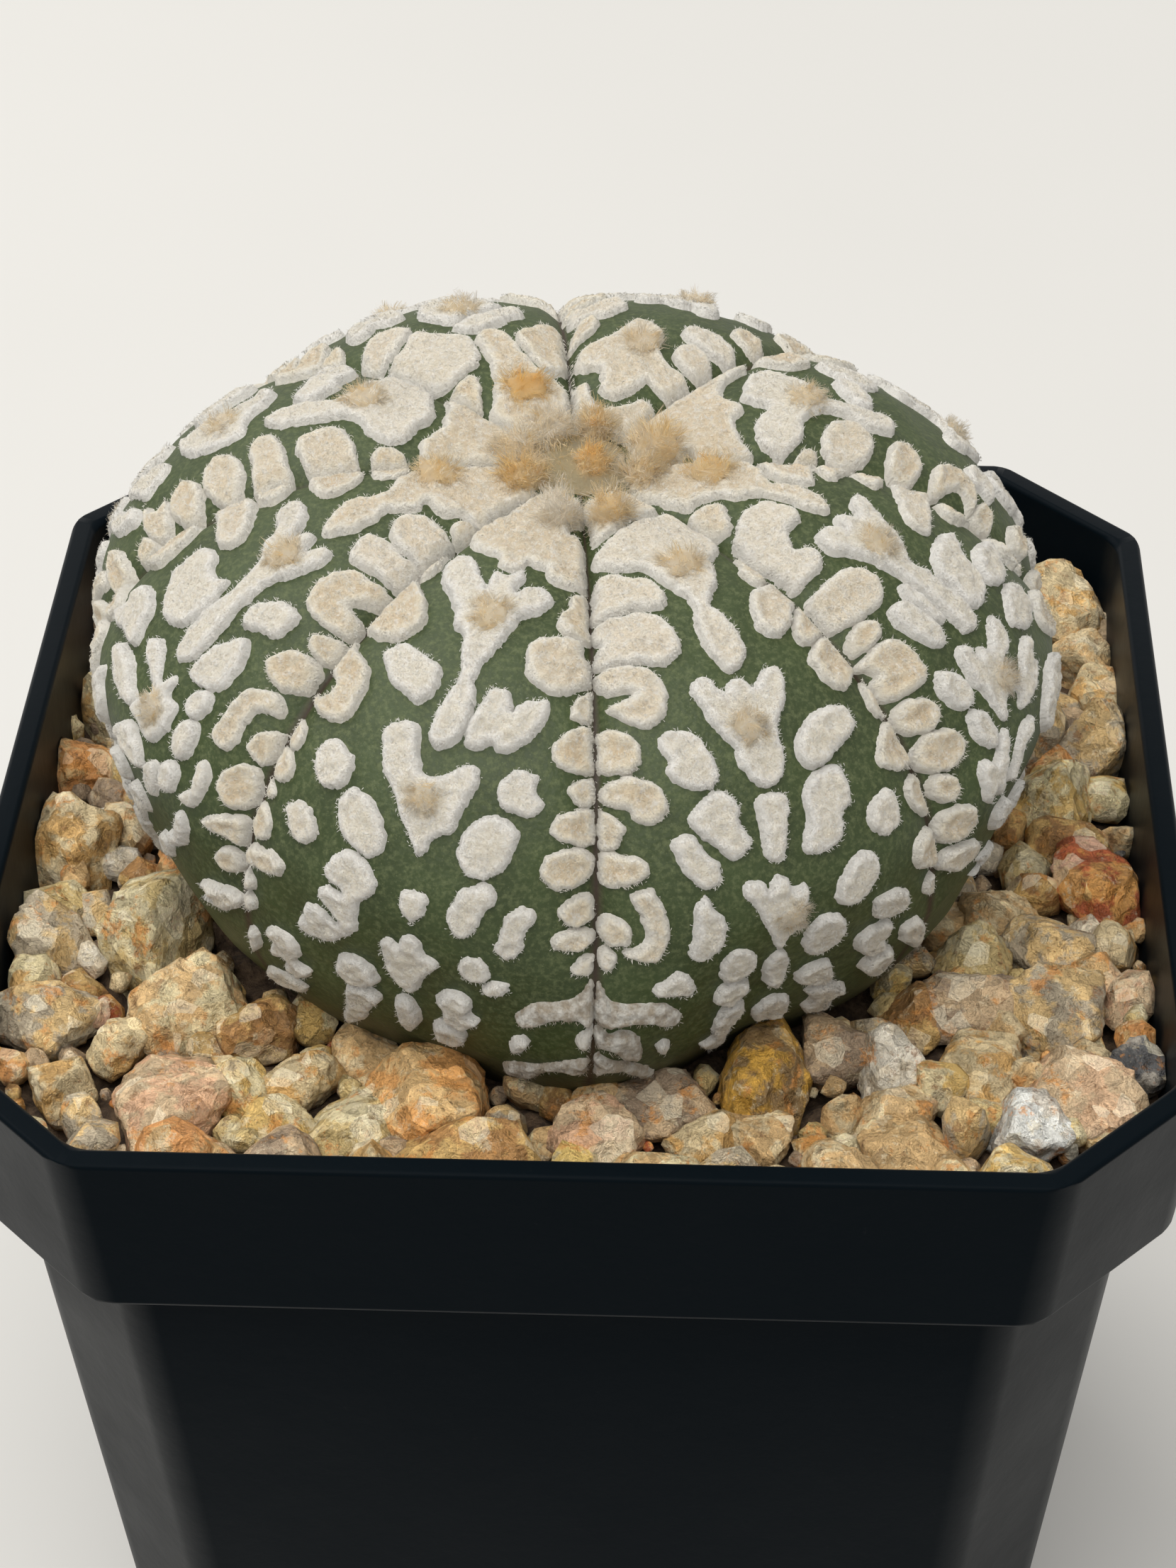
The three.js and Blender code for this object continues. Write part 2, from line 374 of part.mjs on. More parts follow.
/** A square ring with cut corners, shrunk all round by the given amount. */
function cutSquare({ half, cut }, z, shrink = 0) {
  const flat = half - shrink;
  const edge = flat - (cut - shrink * (2 - Math.SQRT2));
  const height = typeof z === 'function' ? z : () => z;
  const corners = [
    [flat, -edge], [flat, edge], [edge, flat], [-edge, flat],
    [-flat, edge], [-flat, -edge], [-edge, -flat], [edge, -flat],
  ];
  return corners.map(([x, y]) => new THREE.Vector3(x, y, height(x, y)));
}

function between(low, high, share) {
  return {
    half: THREE.MathUtils.lerp(low.half, high.half, share),
    cut: THREE.MathUtils.lerp(low.cut, high.cut, share),
  };
}

function makePot() {
  const bandFoot = POT_HEIGHT - BAND_HEIGHT;
  let pot = solid(loft([
    cutSquare(FOOT, 0),
    cutSquare(BODY_TOP, bandFoot),
    cutSquare(BAND_FOOT, bandFoot),
    cutSquare(RIM, POT_HEIGHT),
    cutSquare(LIP_INSIDE, POT_HEIGHT),
    cutSquare(LEDGE_TOP, LEDGE_TOP.z),
    cutSquare(LEDGE_FOOT, LEDGE_FOOT.z),
    cutSquare(FLOOR_INSIDE, FLOOR_THICKNESS),
  ]));
  for (const x of [-DRAIN_OFFSET, DRAIN_OFFSET]) {
    for (const y of [-DRAIN_OFFSET, DRAIN_OFFSET]) {
      const hole = new THREE.CylinderGeometry(DRAIN_RADIUS, DRAIN_RADIUS, 3 * FLOOR_THICKNESS, DRAIN_SIDES);
      hole.rotateX(Math.PI / 2);
      hole.translate(x, y, FLOOR_THICKNESS / 2);
      pot = pot.subtract(solid(hole));
    }
  }
  return geometryOf(pot);
}

/** The stem's outline as radius and height, by the polar angle from the crown in radians. */
function stemProfile(polar) {
  const side = Math.sin(polar);
  const up = Math.cos(polar);
  const power = up > 0 ? UPPER_POWER : LOWER_POWER;
  const radius = STEM_RADIUS * Math.abs(side) ** power;
  const reach = up > 0 ? STEM_RISE : STEM_DROP;
  const sink = CROWN_SINK * Math.exp(-((radius / CROWN_SPREAD) ** 2));
  return { radius, z: reach * Math.sign(up) * Math.abs(up) ** power - sink };
}

/** Arc length from the crown along the outline, tabulated once so that it can be turned round. */
function measureOutline(steps) {
  const marks = [{ along: 0, polar: 0 }];
  let last = stemProfile(0);
  for (let i = 1; i <= steps; i += 1) {
    const polar = (i / steps) * THREE.MathUtils.degToRad(NECK_POLAR);
    const here = stemProfile(polar);
    const step = Math.hypot(here.radius - last.radius, here.z - last.z);
    marks.push({ along: marks[i - 1].along + step, polar });
    last = here;
  }
  return marks;
}

const OUTLINE_MARKS = measureOutline(OUTLINE_STEPS);

function polarAt(along) {
  let i = 1;
  while (OUTLINE_MARKS[i].along < along && i + 1 < OUTLINE_MARKS.length) i += 1;
  const a = OUTLINE_MARKS[i - 1];
  const b = OUTLINE_MARKS[i];
  return THREE.MathUtils.lerp(a.polar, b.polar, (along - a.along) / (b.along - a.along));
}

/** The width of a rib, in radians round the stem. */
function ribWidth(rib) {
  const next = GROOVES[(rib + 1) % GROOVES.length];
  return THREE.MathUtils.degToRad((next - GROOVES[rib] + 360) % 360);
}

/** How deep the skin lies at a share of the way from the crest, 0, to the groove, 1. */
function grooveShare(share) {
  const crease = Math.max(0, (share - CREASE_START) / (1 - CREASE_START));
  return BOWL_SHARE * share ** BOWL_POWER + (1 - BOWL_SHARE) * crease ** CREASE_POWER;
}

/** The plain outline at a polar angle, moved out square to its slope. */
function outlineAt(polar, offset) {
  const here = stemProfile(polar);
  const ahead = stemProfile(polar + SLOPE_STEP);
  const normal = new THREE.Vector2(here.z - ahead.z, ahead.radius - here.radius).normalize();
  return { radius: here.radius + normal.x * offset, z: here.z + normal.y * offset };
}

/** How much of its draw-in the stem has at a polar angle, from 0 above it to 1 at the foot. */
function footShare(polar) {
  return THREE.MathUtils.smoothstep(THREE.MathUtils.radToDeg(polar), FOOT_DRAW.start, FOOT_DRAW.end);
}

/** How far the stem draws in at a share across a rib. */
function footDraw(rib, across, polar) {
  const groove = FOOT_DRAW.grooves[across < 0 ? rib : (rib + 1) % GROOVES.length];
  const share = THREE.MathUtils.smoothstep(Math.abs(across), 0, 1);
  return footShare(polar) * THREE.MathUtils.lerp(FOOT_DRAW.crests[rib], groove, share);
}

/** The turn round the stem at a share across a rib. */
function turnAt(rib, across) {
  return THREE.MathUtils.degToRad(GROOVES[rib]) + ribWidth(rib) * (across + 1) / 2;
}

/** A point on a rib: across from -1 to 1, at a polar angle, lifted off the skin. */
function stemPoint(rib, across, polar, lift) {
  const fade = Math.min(1, stemProfile(polar).radius / GROOVE_FADE_RADIUS) * (1 - footShare(polar));
  const depth = GROOVE_DEPTH * grooveShare(Math.abs(across)) * fade;
  const { radius, z } = outlineAt(polar, lift - depth - footDraw(rib, across, polar));
  const turn = turnAt(rib, across);
  return new THREE.Vector3(radius * Math.cos(turn), radius * Math.sin(turn), z);
}

/** A point of the rib's surface, from millimetres along it and across it. */
function ribPoint(rib, [across, along], lift) {
  const polar = polarAt(along);
  return stemPoint(rib, across / halfWidthAt(rib, along), polar, lift);
}

function halfWidthAt(rib, along) {
  return stemProfile(polarAt(along)).radius * ribWidth(rib) / 2;
}

/** A ring of the stem's room, where place gives the radius and height at a share across a rib. */
function roomRing(place) {
  return GROOVES.flatMap((_, rib) => ROOM_SHARES.map((share) => {
    const { radius, z } = place(rib, share);
    const reach = radius / Math.cos(ribWidth(rib) / (2 * ROOM_SHARES.length));
    const turn = turnAt(rib, share);
    return new THREE.Vector3(reach * Math.cos(turn), reach * Math.sin(turn), z);
  }));
}

/** The stem with no grooves and no felt, lifted all round: the hole that it stands in. */
function plainStem(lift) {
  const rings = ROOT_RINGS.slice().reverse().map(({ radius, z }, i) => {
    return roomRing(() => ({ radius: radius + lift, z: i === 0 ? z - lift : z }));
  });
  for (let i = 0; i <= ROOM_RINGS; i += 1) {
    const degrees = THREE.MathUtils.lerp(NECK_POLAR, ROOM_TOP_POLAR, i / ROOM_RINGS);
    const polar = THREE.MathUtils.degToRad(degrees);
    rings.push(roomRing((rib, share) => outlineAt(polar, lift - footDraw(rib, share, polar))));
  }
  return loft(rings);
}

/** Twice the signed area of a flat triangle. */
function twiceArea(a, b, c) {
  return (b.x - a.x) * (c.y - a.y) - (b.y - a.y) * (c.x - a.x);
}

/** Whether d lies inside the circle through a, b and c, which run anticlockwise. */
function inCircle(a, b, c, d) {
  const rows = [a, b, c].map((p) => [p.x - d.x, p.y - d.y, (p.x - d.x) ** 2 + (p.y - d.y) ** 2]);
  const [[ax, ay, az], [bx, by, bz], [cx, cy, cz]] = rows;
  return ax * (by * cz - bz * cy) - ay * (bx * cz - bz * cx) + az * (bx * cy - by * cx) > 1e-9;
}

/** Turns the side that two triangles share, once, wherever that makes them rounder. */
function flipOnce(points, faces, fixed) {
  const sides = new Map();
  faces.forEach((face, f) => {
    face.forEach((a, i) => sides.set(`${a} ${face[(i + 1) % 3]}`, { f, far: face[(i + 2) % 3] }));
  });
  const touched = new Set();
  for (const [name, here] of sides) {
    const [a, b] = name.split(' ').map(Number);
    const there = sides.get(`${b} ${a}`);
    if (a > b || !there || fixed.has(name) || touched.has(here.f) || touched.has(there.f)) continue;
    const [pa, pb, pc, pd] = [a, b, here.far, there.far].map((i) => points[i]);
    const convex = twiceArea(pa, pd, pc) > 1e-6 && twiceArea(pd, pb, pc) > 1e-6;
    if (convex && inCircle(pa, pb, pc, pd)) {
      faces[here.f] = [a, there.far, here.far];
      faces[there.f] = [there.far, b, here.far];
      touched.add(here.f);
      touched.add(there.f);
    }
  }
  return touched.size > 0;
}

/** Triangles over a flat outline with holes, all anticlockwise seen from outside the stem. */
function triangulate(outline, holes) {
  const loops = [outline, ...holes].map((loop) => loop.map(([x, y]) => new THREE.Vector2(x, -y)));
  const points = loops.flat();
  const faces = THREE.ShapeUtils.triangulateShape(loops[0].slice(), loops.slice(1).map((l) => l.slice()));
  for (const face of faces) {
    if (twiceArea(...face.map((i) => points[i])) < 0) face.reverse();
  }
  const fixed = new Set();
  let start = 0;
  for (const loop of loops) {
    for (let i = 0; i < loop.length; i += 1) {
      const [a, b] = [start + i, start + (i + 1) % loop.length];
      fixed.add(`${a} ${b}`).add(`${b} ${a}`);
    }
    start += loop.length;
  }
  for (let pass = 0; pass < FLIP_PASSES && flipOnce(points, faces, fixed); pass += 1);
  return faces;
}

function edgeDistance([px, py], [ax, ay], [bx, by]) {
  const length = (bx - ax) ** 2 + (by - ay) ** 2;
  const share = THREE.MathUtils.clamp(((px - ax) * (bx - ax) + (py - ay) * (by - ay)) / length, 0, 1);
  return Math.hypot(px - ax - share * (bx - ax), py - ay - share * (by - ay));
}

function edgesCross(a, b, c, d) {
  const side = (p, q, r) => Math.sign((q[0] - p[0]) * (r[1] - p[1]) - (q[1] - p[1]) * (r[0] - p[0]));
  return side(a, b, c) !== side(a, b, d) && side(c, d, a) !== side(c, d, b);
}

function contains(outline, [x, y]) {
  let inside = false;
  outline.forEach(([ax, ay], i) => {
    const [bx, by] = outline[(i + 1) % outline.length];
    if (ay > y !== by > y && x < ax + ((y - ay) / (by - ay)) * (bx - ax)) inside = !inside;
  });
  return inside;
}

/** Whether the sides of two outlines keep clear of each other. */
function sidesClear(one, other) {
  return one.every((a, i) => {
    const b = one[(i + 1) % one.length];
    return other.every((c, j) => {
      const d = other[(j + 1) % other.length];
      const near = Math.min(edgeDistance(a, c, d), edgeDistance(c, a, b));
      return near > FLECK_GAP && !edgesCross(a, b, c, d);
    });
  });
}

/** Keeps an outline inside the felted part of its rib, with no side too short. */
function trimOutline(rib, outline) {
  const kept = [];
  for (const [x, y] of outline) {
    const along = THREE.MathUtils.clamp(y, FELT_START + FLECK_GAP, FELT_END - FLECK_GAP);
    const limit = FLECK_EDGE * halfWidthAt(rib, along);
    const point = [THREE.MathUtils.clamp(x, -limit, limit), along];
    if (kept.every((other) => Math.hypot(other[0] - point[0], other[1] - point[1]) > SMALLEST_SIDE)) {
      kept.push(point);
    }
  }
  return kept;
}

/** The outline of a simple fleck, from its unit outline, place, size and turn. */
function fleckOutline([unit, along, across, long, wide, turn], mirrored) {
  const angle = THREE.MathUtils.degToRad(turn);
  const side = mirrored ? -1 : 1;
  return unit.map(([x, y]) => [
    side * (across + x * wide * Math.cos(angle) - y * long * Math.sin(angle)),
    along + x * wide * Math.sin(angle) + y * long * Math.cos(angle),
  ]);
}

/** Middle and half sizes of an outline. */
function spanOf(outline) {
  const across = outline.map((p) => p[0]);
  const along = outline.map((p) => p[1]);
  const [left, right] = [Math.min(...across), Math.max(...across)];
  const [top, foot] = [Math.min(...along), Math.max(...along)];
  const [width, height] = [(right - left) / 2, (foot - top) / 2];
  return { x: left + width, y: top + height, width, height };
}

/** Outlines and tufts as given for a rib, with what is lent to the side that the front hides. */
function listFelt(rib, draw) {
  const own = RIBS[rib];
  const outlines = [...own.patches, ...own.flecks.map((fleck) => fleckOutline(fleck, false))];
  const tufts = [...own.tufts];
  if (!(rib in LENDERS)) return { outlines, tufts };
  const [lender, mirrored] = LENDERS[rib];
  const side = mirrored ? -1 : 1;
  const widen = ribWidth(rib) / ribWidth(lender);
  const lent = [
    ...RIBS[lender].patches.map((patch) => patch.map(([x, y]) => [side * x, y])),
    ...RIBS[lender].flecks.map((fleck) => fleckOutline(fleck, mirrored)),
  ];
  for (const outline of lent) {
    const [shiftX, shiftY] = [draw() - 0.5, draw() - 0.5];
    const moved = outline.map(([x, y]) => [x * widen + shiftX, y + shiftY]);
    const { x, y } = spanOf(moved);
    if (y > own.seen[x < 0 ? 0 : 1]) outlines.push(moved);
  }
  for (const [along, across] of RIBS[lender].tufts) {
    const free = tufts.every(([other]) => Math.abs(other - along) > TUFT_SPACING);
    if (free) tufts.push([along, side * across]);
  }
  return { outlines, tufts };
}

/** The flecks that a rib has room for, each shrunk a little if it would touch one already there. */
function placeFlecks(rib, outlines) {
  const placed = [];
  for (const outline of outlines) {
    const { x, y } = spanOf(outline);
    for (const size of SHRINK_STEPS) {
      const resized = outline.map(([px, py]) => [x + (px - x) * size, y + (py - y) * size]);
      const fleck = trimOutline(rib, resized);
      const { width, height } = spanOf(fleck);
      const large = fleck.length > 3 && 4 * width * height > SMALLEST_FLECK;
      const apart = (other) => sidesClear(fleck, other) && !contains(other, fleck[0]);
      if (large && placed.every(apart)) {
        placed.push(fleck);
        break;
      }
    }
  }
  return placed;
}

/** A ring round a tuft's foot, as an outline. */
function tuftRing([along, across], radius) {
  return Array.from({ length: TUFT.sides }, (_, i) => {
    const angle = (2 * Math.PI * i) / TUFT.sides;
    return [across + radius * Math.cos(angle), along + radius * Math.sin(angle)];
  });
}

/** A raised rim: the strip between an outline and the same outline higher up. */
function addWall(add, rib, low, high, lowLift, highLift) {
  low.forEach((_, i) => {
    const next = (i + 1) % low.length;
    const a = ribPoint(rib, low[i], lowLift);
    const b = ribPoint(rib, low[next], lowLift);
    const c = ribPoint(rib, high[i], highLift);
    const d = ribPoint(rib, high[next], highLift);
    add(a, c, b);
    add(b, c, d);
  });
}

/** The wool of one areole, a low dome on its foot. */
function addTuft(add, rib, tuft, lift) {
  const foot = tuftRing(tuft, TUFT.radius);
  const waist = tuftRing(tuft, TUFT.radius * TUFT.waist);
  addWall(add, rib, foot, waist, lift, lift + TUFT.height * TUFT.waist);
  const tip = ribPoint(rib, [tuft[1], tuft[0]], lift + TUFT.height);
  waist.forEach((point, i) => {
    const next = waist[(i + 1) % waist.length];
    add(ribPoint(rib, point, lift + TUFT.height * TUFT.waist), tip,
      ribPoint(rib, next, lift + TUFT.height * TUFT.waist));
  });
}

/** The rib's face between its two edges: bare skin, with the felt raised out of it. */
function addRibFace(add, rib, draw) {
  const { outlines, tufts } = listFelt(rib, draw);
  const flecks = placeFlecks(rib, outlines);
  const loose = [];
  const seated = new Map(flecks.map((fleck) => [fleck, []]));
  for (const tuft of tufts) {
    const ring = tuftRing(tuft, TUFT.radius);
    const home = flecks.find((fleck) => contains(fleck, [tuft[1], tuft[0]]) && sidesClear(ring, fleck));
    if (home) seated.get(home).push(tuft);
    else if (flecks.every((fleck) => sidesClear(ring, fleck) && !contains(fleck, ring[0]))) loose.push(tuft);
  }
  const edge = [];
  const edgePoint = (share, level) => {
    const along = levelAlong(level);
    return [share * halfWidthAt(rib, along), along];
  };
  for (const share of EDGE_SHARES) edge.push(edgePoint(share, 0));
  for (let level = 1; level < FELT_LEVELS; level += 1) edge.push(edgePoint(RIB_EDGE, level));
  for (const share of EDGE_SHARES.slice().reverse()) edge.push(edgePoint(share, FELT_LEVELS));
  for (let level = FELT_LEVELS - 1; level > 0; level -= 1) edge.push(edgePoint(-RIB_EDGE, level));
  const rings = loose.map((tuft) => tuftRing(tuft, TUFT.radius));
  addSheet(add, rib, edge, [...flecks, ...rings], 0);
  for (const tuft of loose) addTuft(add, rib, tuft, 0);
  for (const [fleck, inner] of seated) {
    addWallRound(add, rib, fleck);
    addSheet(add, rib, fleck, inner.map((tuft) => tuftRing(tuft, TUFT.radius)), FLECK_LIFT);
    for (const tuft of inner) addTuft(add, rib, tuft, FLECK_LIFT);
  }
}

/** Height along the rib of one of the levels that both sides of a groove share. */
function levelAlong(level) {
  return THREE.MathUtils.lerp(FELT_START, FELT_END, level / FELT_LEVELS);
}

/** A lifted sheet over an outline with holes. */
function addSheet(add, rib, outline, holes, lift) {
  const points = [outline, ...holes].flat().map((point) => ribPoint(rib, point, lift));
  for (const [a, b, c] of triangulate(outline, holes)) add(points[a], points[b], points[c]);
}

/** The side of a fleck, whichever way round its outline runs. */
function addWallRound(add, rib, fleck) {
  const clockwise = THREE.ShapeUtils.area(fleck.map(([x, y]) => new THREE.Vector2(x, -y))) < 0;
  const loop = clockwise ? fleck : fleck.slice().reverse();
  addWall(add, rib, loop, loop, 0, FLECK_LIFT);
}

/** Strips of the stem between rings of points, from the top ring down. */
function addRings(add, rings) {
  for (let ring = 0; ring + 1 < rings.length; ring += 1) {
    const [top, foot] = [rings[ring], rings[ring + 1]];
    top.forEach((_, i) => {
      const next = (i + 1) % top.length;
      add(top[i], foot[i], top[next]);
      add(top[next], foot[i], foot[next]);
    });
  }
}

/** The ring round all eight ribs at a polar angle. */
function stemRing(polar) {
  return GROOVES.flatMap((_, rib) => [-1, ...EDGE_SHARES].map((share) => stemPoint(rib, share, polar, 0)));
}

/** The crease of one groove: a narrow strip from a rib's edge down to the groove and up again. */
function addCrease(add, rib) {
  const before = (rib + GROOVES.length - 1) % GROOVES.length;
  for (let level = 0; level < FELT_LEVELS; level += 1) {
    const [top, foot] = [level, level + 1].map((l) => {
      const polar = polarAt(levelAlong(l));
      return [
        stemPoint(before, RIB_EDGE, polar, 0), stemPoint(rib, -1, polar, 0),
        stemPoint(rib, -RIB_EDGE, polar, 0),
      ];
    });
    for (const i of [0, 1]) {
      add(top[i], foot[i], top[i + 1]);
      add(top[i + 1], foot[i], foot[i + 1]);
    }
  }
}

/** The whole stem as one closed skin: crown, felted ribs, creases, lower body and root. */
function makeStem() {
  const positions = [];
  const add = (a, b, c) => positions.push(...a.toArray(), ...b.toArray(), ...c.toArray());
  const draw = seededDraws(NUDGE_SEED);
  const crownTip = new THREE.Vector3(0, 0, stemProfile(0).z);
  const feltTop = stemRing(polarAt(FELT_START));
  feltTop.forEach((point, i) => add(crownTip, point, feltTop[(i + 1) % feltTop.length]));
  GROOVES.forEach((_, rib) => {
    addRibFace(add, rib, draw);
    addCrease(add, rib);
  });
  const lower = [stemRing(polarAt(FELT_END))];
  for (const degrees of LOWER_POLARS) lower.push(stemRing(THREE.MathUtils.degToRad(degrees)));
  for (const { radius, z } of ROOT_RINGS) {
    lower.push(lower[0].map((point) => {
      const reach = radius / Math.hypot(point.x, point.y);
      return new THREE.Vector3(point.x * reach, point.y * reach, z);
    }));
  }
  addRings(add, lower);
  const rootTip = new THREE.Vector3(0, 0, ROOT_RINGS.at(-1).z);
  const end = lower.at(-1);
  end.forEach((point, i) => add(point, rootTip, end[(i + 1) % end.length]));
  const geometry = new THREE.BufferGeometry();
  geometry.setAttribute('position', new THREE.Float32BufferAttribute(positions, 3));
  const merged = mergeVertices(geometry, 1e-3);
  merged.computeVertexNormals();
  return merged;
}

/** A dome of wool with its foot sunk, standing along the outward direction. */
function woolDome(foot, outward, radius, height) {
  const dome = new THREE.SphereGeometry(1, WOOL.sides, WOOL.rings);
  dome.rotateX(Math.PI / 2);
  dome.scale(radius, radius, height);
  dome.applyQuaternion(new THREE.Quaternion().setFromUnitVectors(new THREE.Vector3(0, 0, 1), outward));
  dome.translate(foot.x, foot.y, foot.z);
  return solid(dome);
}

/** Young wool that fills the sunken crown: a middle dome with a tuft at the head of each rib. */
function makeCrownWool() {
  const crown = new THREE.Vector3(0, 0, stemProfile(0).z);
  const centre = new THREE.Vector3(0, 0, crown.z - WOOL.spread);
  let wool = woolDome(crown, new THREE.Vector3(0, 0, 1), WOOL.radius, WOOL.height);
  GROOVES.forEach((_, rib) => {
    const { along, height } = HEAD_TUFTS[rib % HEAD_TUFTS.length];
    const foot = ribPoint(rib, [0, along], HEAD_TUFT_LIFT);
    const outward = foot.clone().sub(centre).normalize();
    wool = wool.add(woolDome(foot, outward, HEAD_TUFT_RADIUS, height));
  });
  return geometryOf(wool.subtract(solid(plainStem(GAP))));
}

/** Where the plant stands and how it leans, for pieces that have to clear it. */
function plantPlace() {
  const { leanX, leanY, x, y, z } = STEM_PLACE;
  const lean = new THREE.Euler(THREE.MathUtils.degToRad(leanX), THREE.MathUtils.degToRad(leanY), 0);
  return { position: new THREE.Vector3(x, y, z), lean };
}

/** The plain hole that the stem and its felt stand in. */
function stemRoom(lift) {
  const { position, lean } = plantPlace();
  const matrix = new THREE.Matrix4().makeRotationFromEuler(lean).setPosition(position);
  return solid(plainStem(lift).applyMatrix4(matrix));
}

function makeMix(room) {
  const share = (MIX_TOP - FLOOR_THICKNESS) / (LEDGE_FOOT.z - FLOOR_THICKNESS);
  const mix = solid(loft([
    cutSquare(FLOOR_INSIDE, FLOOR_THICKNESS + GAP, GAP),
    cutSquare(between(FLOOR_INSIDE, LEDGE_FOOT, share), MIX_TOP, GAP),
  ]));
  return geometryOf(mix.subtract(room));
}

/** The level of the gravel bed, which lies lower at the back. */
function bedLevel(x, y) {
  const share = (y + RIM.half) / (2 * RIM.half);
  return POT_HEIGHT - THREE.MathUtils.lerp(BED_DEPTH_FRONT, BED_DEPTH_BACK, share);
}

/** The seen stones, then others from large to small, each off its neighbours, the walls and the stem. */
function drawStones() {
  const { lerp } = THREE.MathUtils;
  const draw = seededDraws(STONE_SEED);
  const stones = SEEN_STONES.map(([x, y, wide, high]) => {
    const rise = STONE_SEAT * high;
    return { x, y, radius: wide, size: [wide, wide, high], rise, tilt: draw(), spin: draw() };
  });
  for (const radius of STONE_RADII) {
    for (let i = 0; i < STONE_TRIES; i += 1) {
      const reach = LIP_INSIDE.half - 0.8 * radius;
      const x = (2 * draw() - 1) * reach;
      const y = (2 * draw() - 1) * reach;
      const inCorner = Math.abs(x) + Math.abs(y) > 2 * reach - LIP_INSIDE.cut;
      const fromStem = Math.hypot(x - STEM_PLACE.x, y - STEM_PLACE.y);
      const free = stones.every((s) => Math.hypot(s.x - x, s.y - y) > STONE_SPACING * (s.radius + radius));
      if (!inCorner && fromStem > NEAREST_STONE && free) {
        const [rise, spin, tilt] = [lerp(...STONE_LIFT, draw()), draw(), draw()];
        const shares = [lerp(...STONE_LENGTH, tilt), lerp(...STONE_WIDTH, tilt), lerp(...STONE_HEIGHT, spin)];
        stones.push({ x, y, radius, size: shares.map((share) => share * radius), rise, tilt, spin });
      }
    }
  }
  return stones;
}

/** One angular stone: a faceted ball, turned and stretched. */
function stoneSolid({ x, y, size, rise, tilt, spin }) {
  const stone = new THREE.IcosahedronGeometry(1, 0);
  stone.rotateX(2 * Math.PI * tilt);
  stone.rotateZ(2 * Math.PI * spin);
  stone.scale(...size);
  stone.translate(x, y, bedLevel(x, y) + rise);
  return solid(stone);
}

function makeGravel(room) {
  const wall = (z) => between(LEDGE_TOP, LIP_INSIDE, (z - LEDGE_TOP.z) / (POT_HEIGHT - LEDGE_TOP.z));
  const start = cutSquare(LEDGE_FOOT, MIX_TOP + GAP, GAP);
  const ledgeFoot = cutSquare(LEDGE_FOOT, LEDGE_FOOT.z + GAP, GAP);
  const ledgeTop = cutSquare(LEDGE_TOP, LEDGE_TOP.z + 2 * GAP, GAP);
  const bed = loft([start, ledgeFoot, ledgeTop, cutSquare(wall(76), bedLevel, GAP)]);
  const limit = loft([start, ledgeFoot, ledgeTop, cutSquare(LIP_INSIDE, POT_HEIGHT + 8, GAP)]);
  let gravel = solid(bed);
  for (const stone of drawStones()) gravel = gravel.add(stoneSolid(stone));
  return geometryOf(gravel.intersect(solid(limit)).subtract(room));
}

function piece(name, geometry, colour, roughness) {
  const material = new THREE.MeshStandardMaterial({ color: colour, roughness, metalness: 0 });
  const mesh = new THREE.Mesh(geometry, material);
  mesh.name = name;
  return mesh;
}

const plant = new THREE.Group();
const { position, lean } = plantPlace();
plant.position.copy(position);
plant.rotation.copy(lean);
plant.add(piece('stem', makeStem(), 0x4a5a3a, 0.75));
plant.add(piece('crown_wool', makeCrownWool(), 0xc9a56a, 0.95));

const group = new THREE.Group();
group.add(piece('pot', makePot(), 0x1c1f22, 0.5));
group.add(piece('potting_mix', makeMix(stemRoom(GAP)), 0x5a4a3a, 0.95));
group.add(piece('gravel', makeGravel(stemRoom(FLECK_LIFT + GAP)), 0xc7a47a, 0.85));
group.add(plant);

export default group;
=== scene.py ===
"""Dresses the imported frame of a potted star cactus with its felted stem, wool, gravel and pot."""
import itertools
import math

import bmesh
import bpy
import numpy as np
from bpy.props import FloatProperty, FloatVectorProperty, IntProperty, PointerProperty
from mathutils import Matrix, Vector


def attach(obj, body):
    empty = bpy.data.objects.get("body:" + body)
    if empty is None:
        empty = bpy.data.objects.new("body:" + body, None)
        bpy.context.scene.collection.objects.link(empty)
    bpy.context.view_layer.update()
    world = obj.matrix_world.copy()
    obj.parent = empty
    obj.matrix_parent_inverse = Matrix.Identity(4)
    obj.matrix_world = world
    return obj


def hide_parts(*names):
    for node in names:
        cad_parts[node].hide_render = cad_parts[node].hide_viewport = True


bl_info = {
    "name": "Potted star cactus",
    "version": (1, 0, 0),
    "blender": (4, 5, 0),
    "location": "3D View > Sidebar > Cactus",
    "description": "Builds the looks of a star cactus in a square pot over its packed frame",
    "category": "Object",
}

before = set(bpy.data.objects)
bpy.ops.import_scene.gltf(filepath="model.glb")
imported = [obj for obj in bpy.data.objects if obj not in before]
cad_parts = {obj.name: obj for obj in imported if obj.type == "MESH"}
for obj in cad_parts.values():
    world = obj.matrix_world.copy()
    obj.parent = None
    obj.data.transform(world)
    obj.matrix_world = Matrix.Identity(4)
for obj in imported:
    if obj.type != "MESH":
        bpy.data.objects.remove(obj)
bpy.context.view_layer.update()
MM = 0.001

# Stem outline, in powers of the sine and cosine of the angle from the crown.
UPPER_POWER = 0.87
LOWER_POWER = 1.3
CROWN_SPREAD = 14.0
GROOVE_FADE_RADIUS = 14.0
BOWL_SHARE = 0.62
BOWL_POWER = 2.4
CREASE_START = 0.84
CREASE_POWER = 1.3
NECK_POLAR = 150.0
OUTLINE_STEPS = 600
STEM_PLACE = (-1.2, 1.6, 90.5)
STEM_LEAN = (2.0, 2.3)
ROOT_RINGS = [(9.0, -33.0), (5.5, -46.0), (1.5, -62.0)]
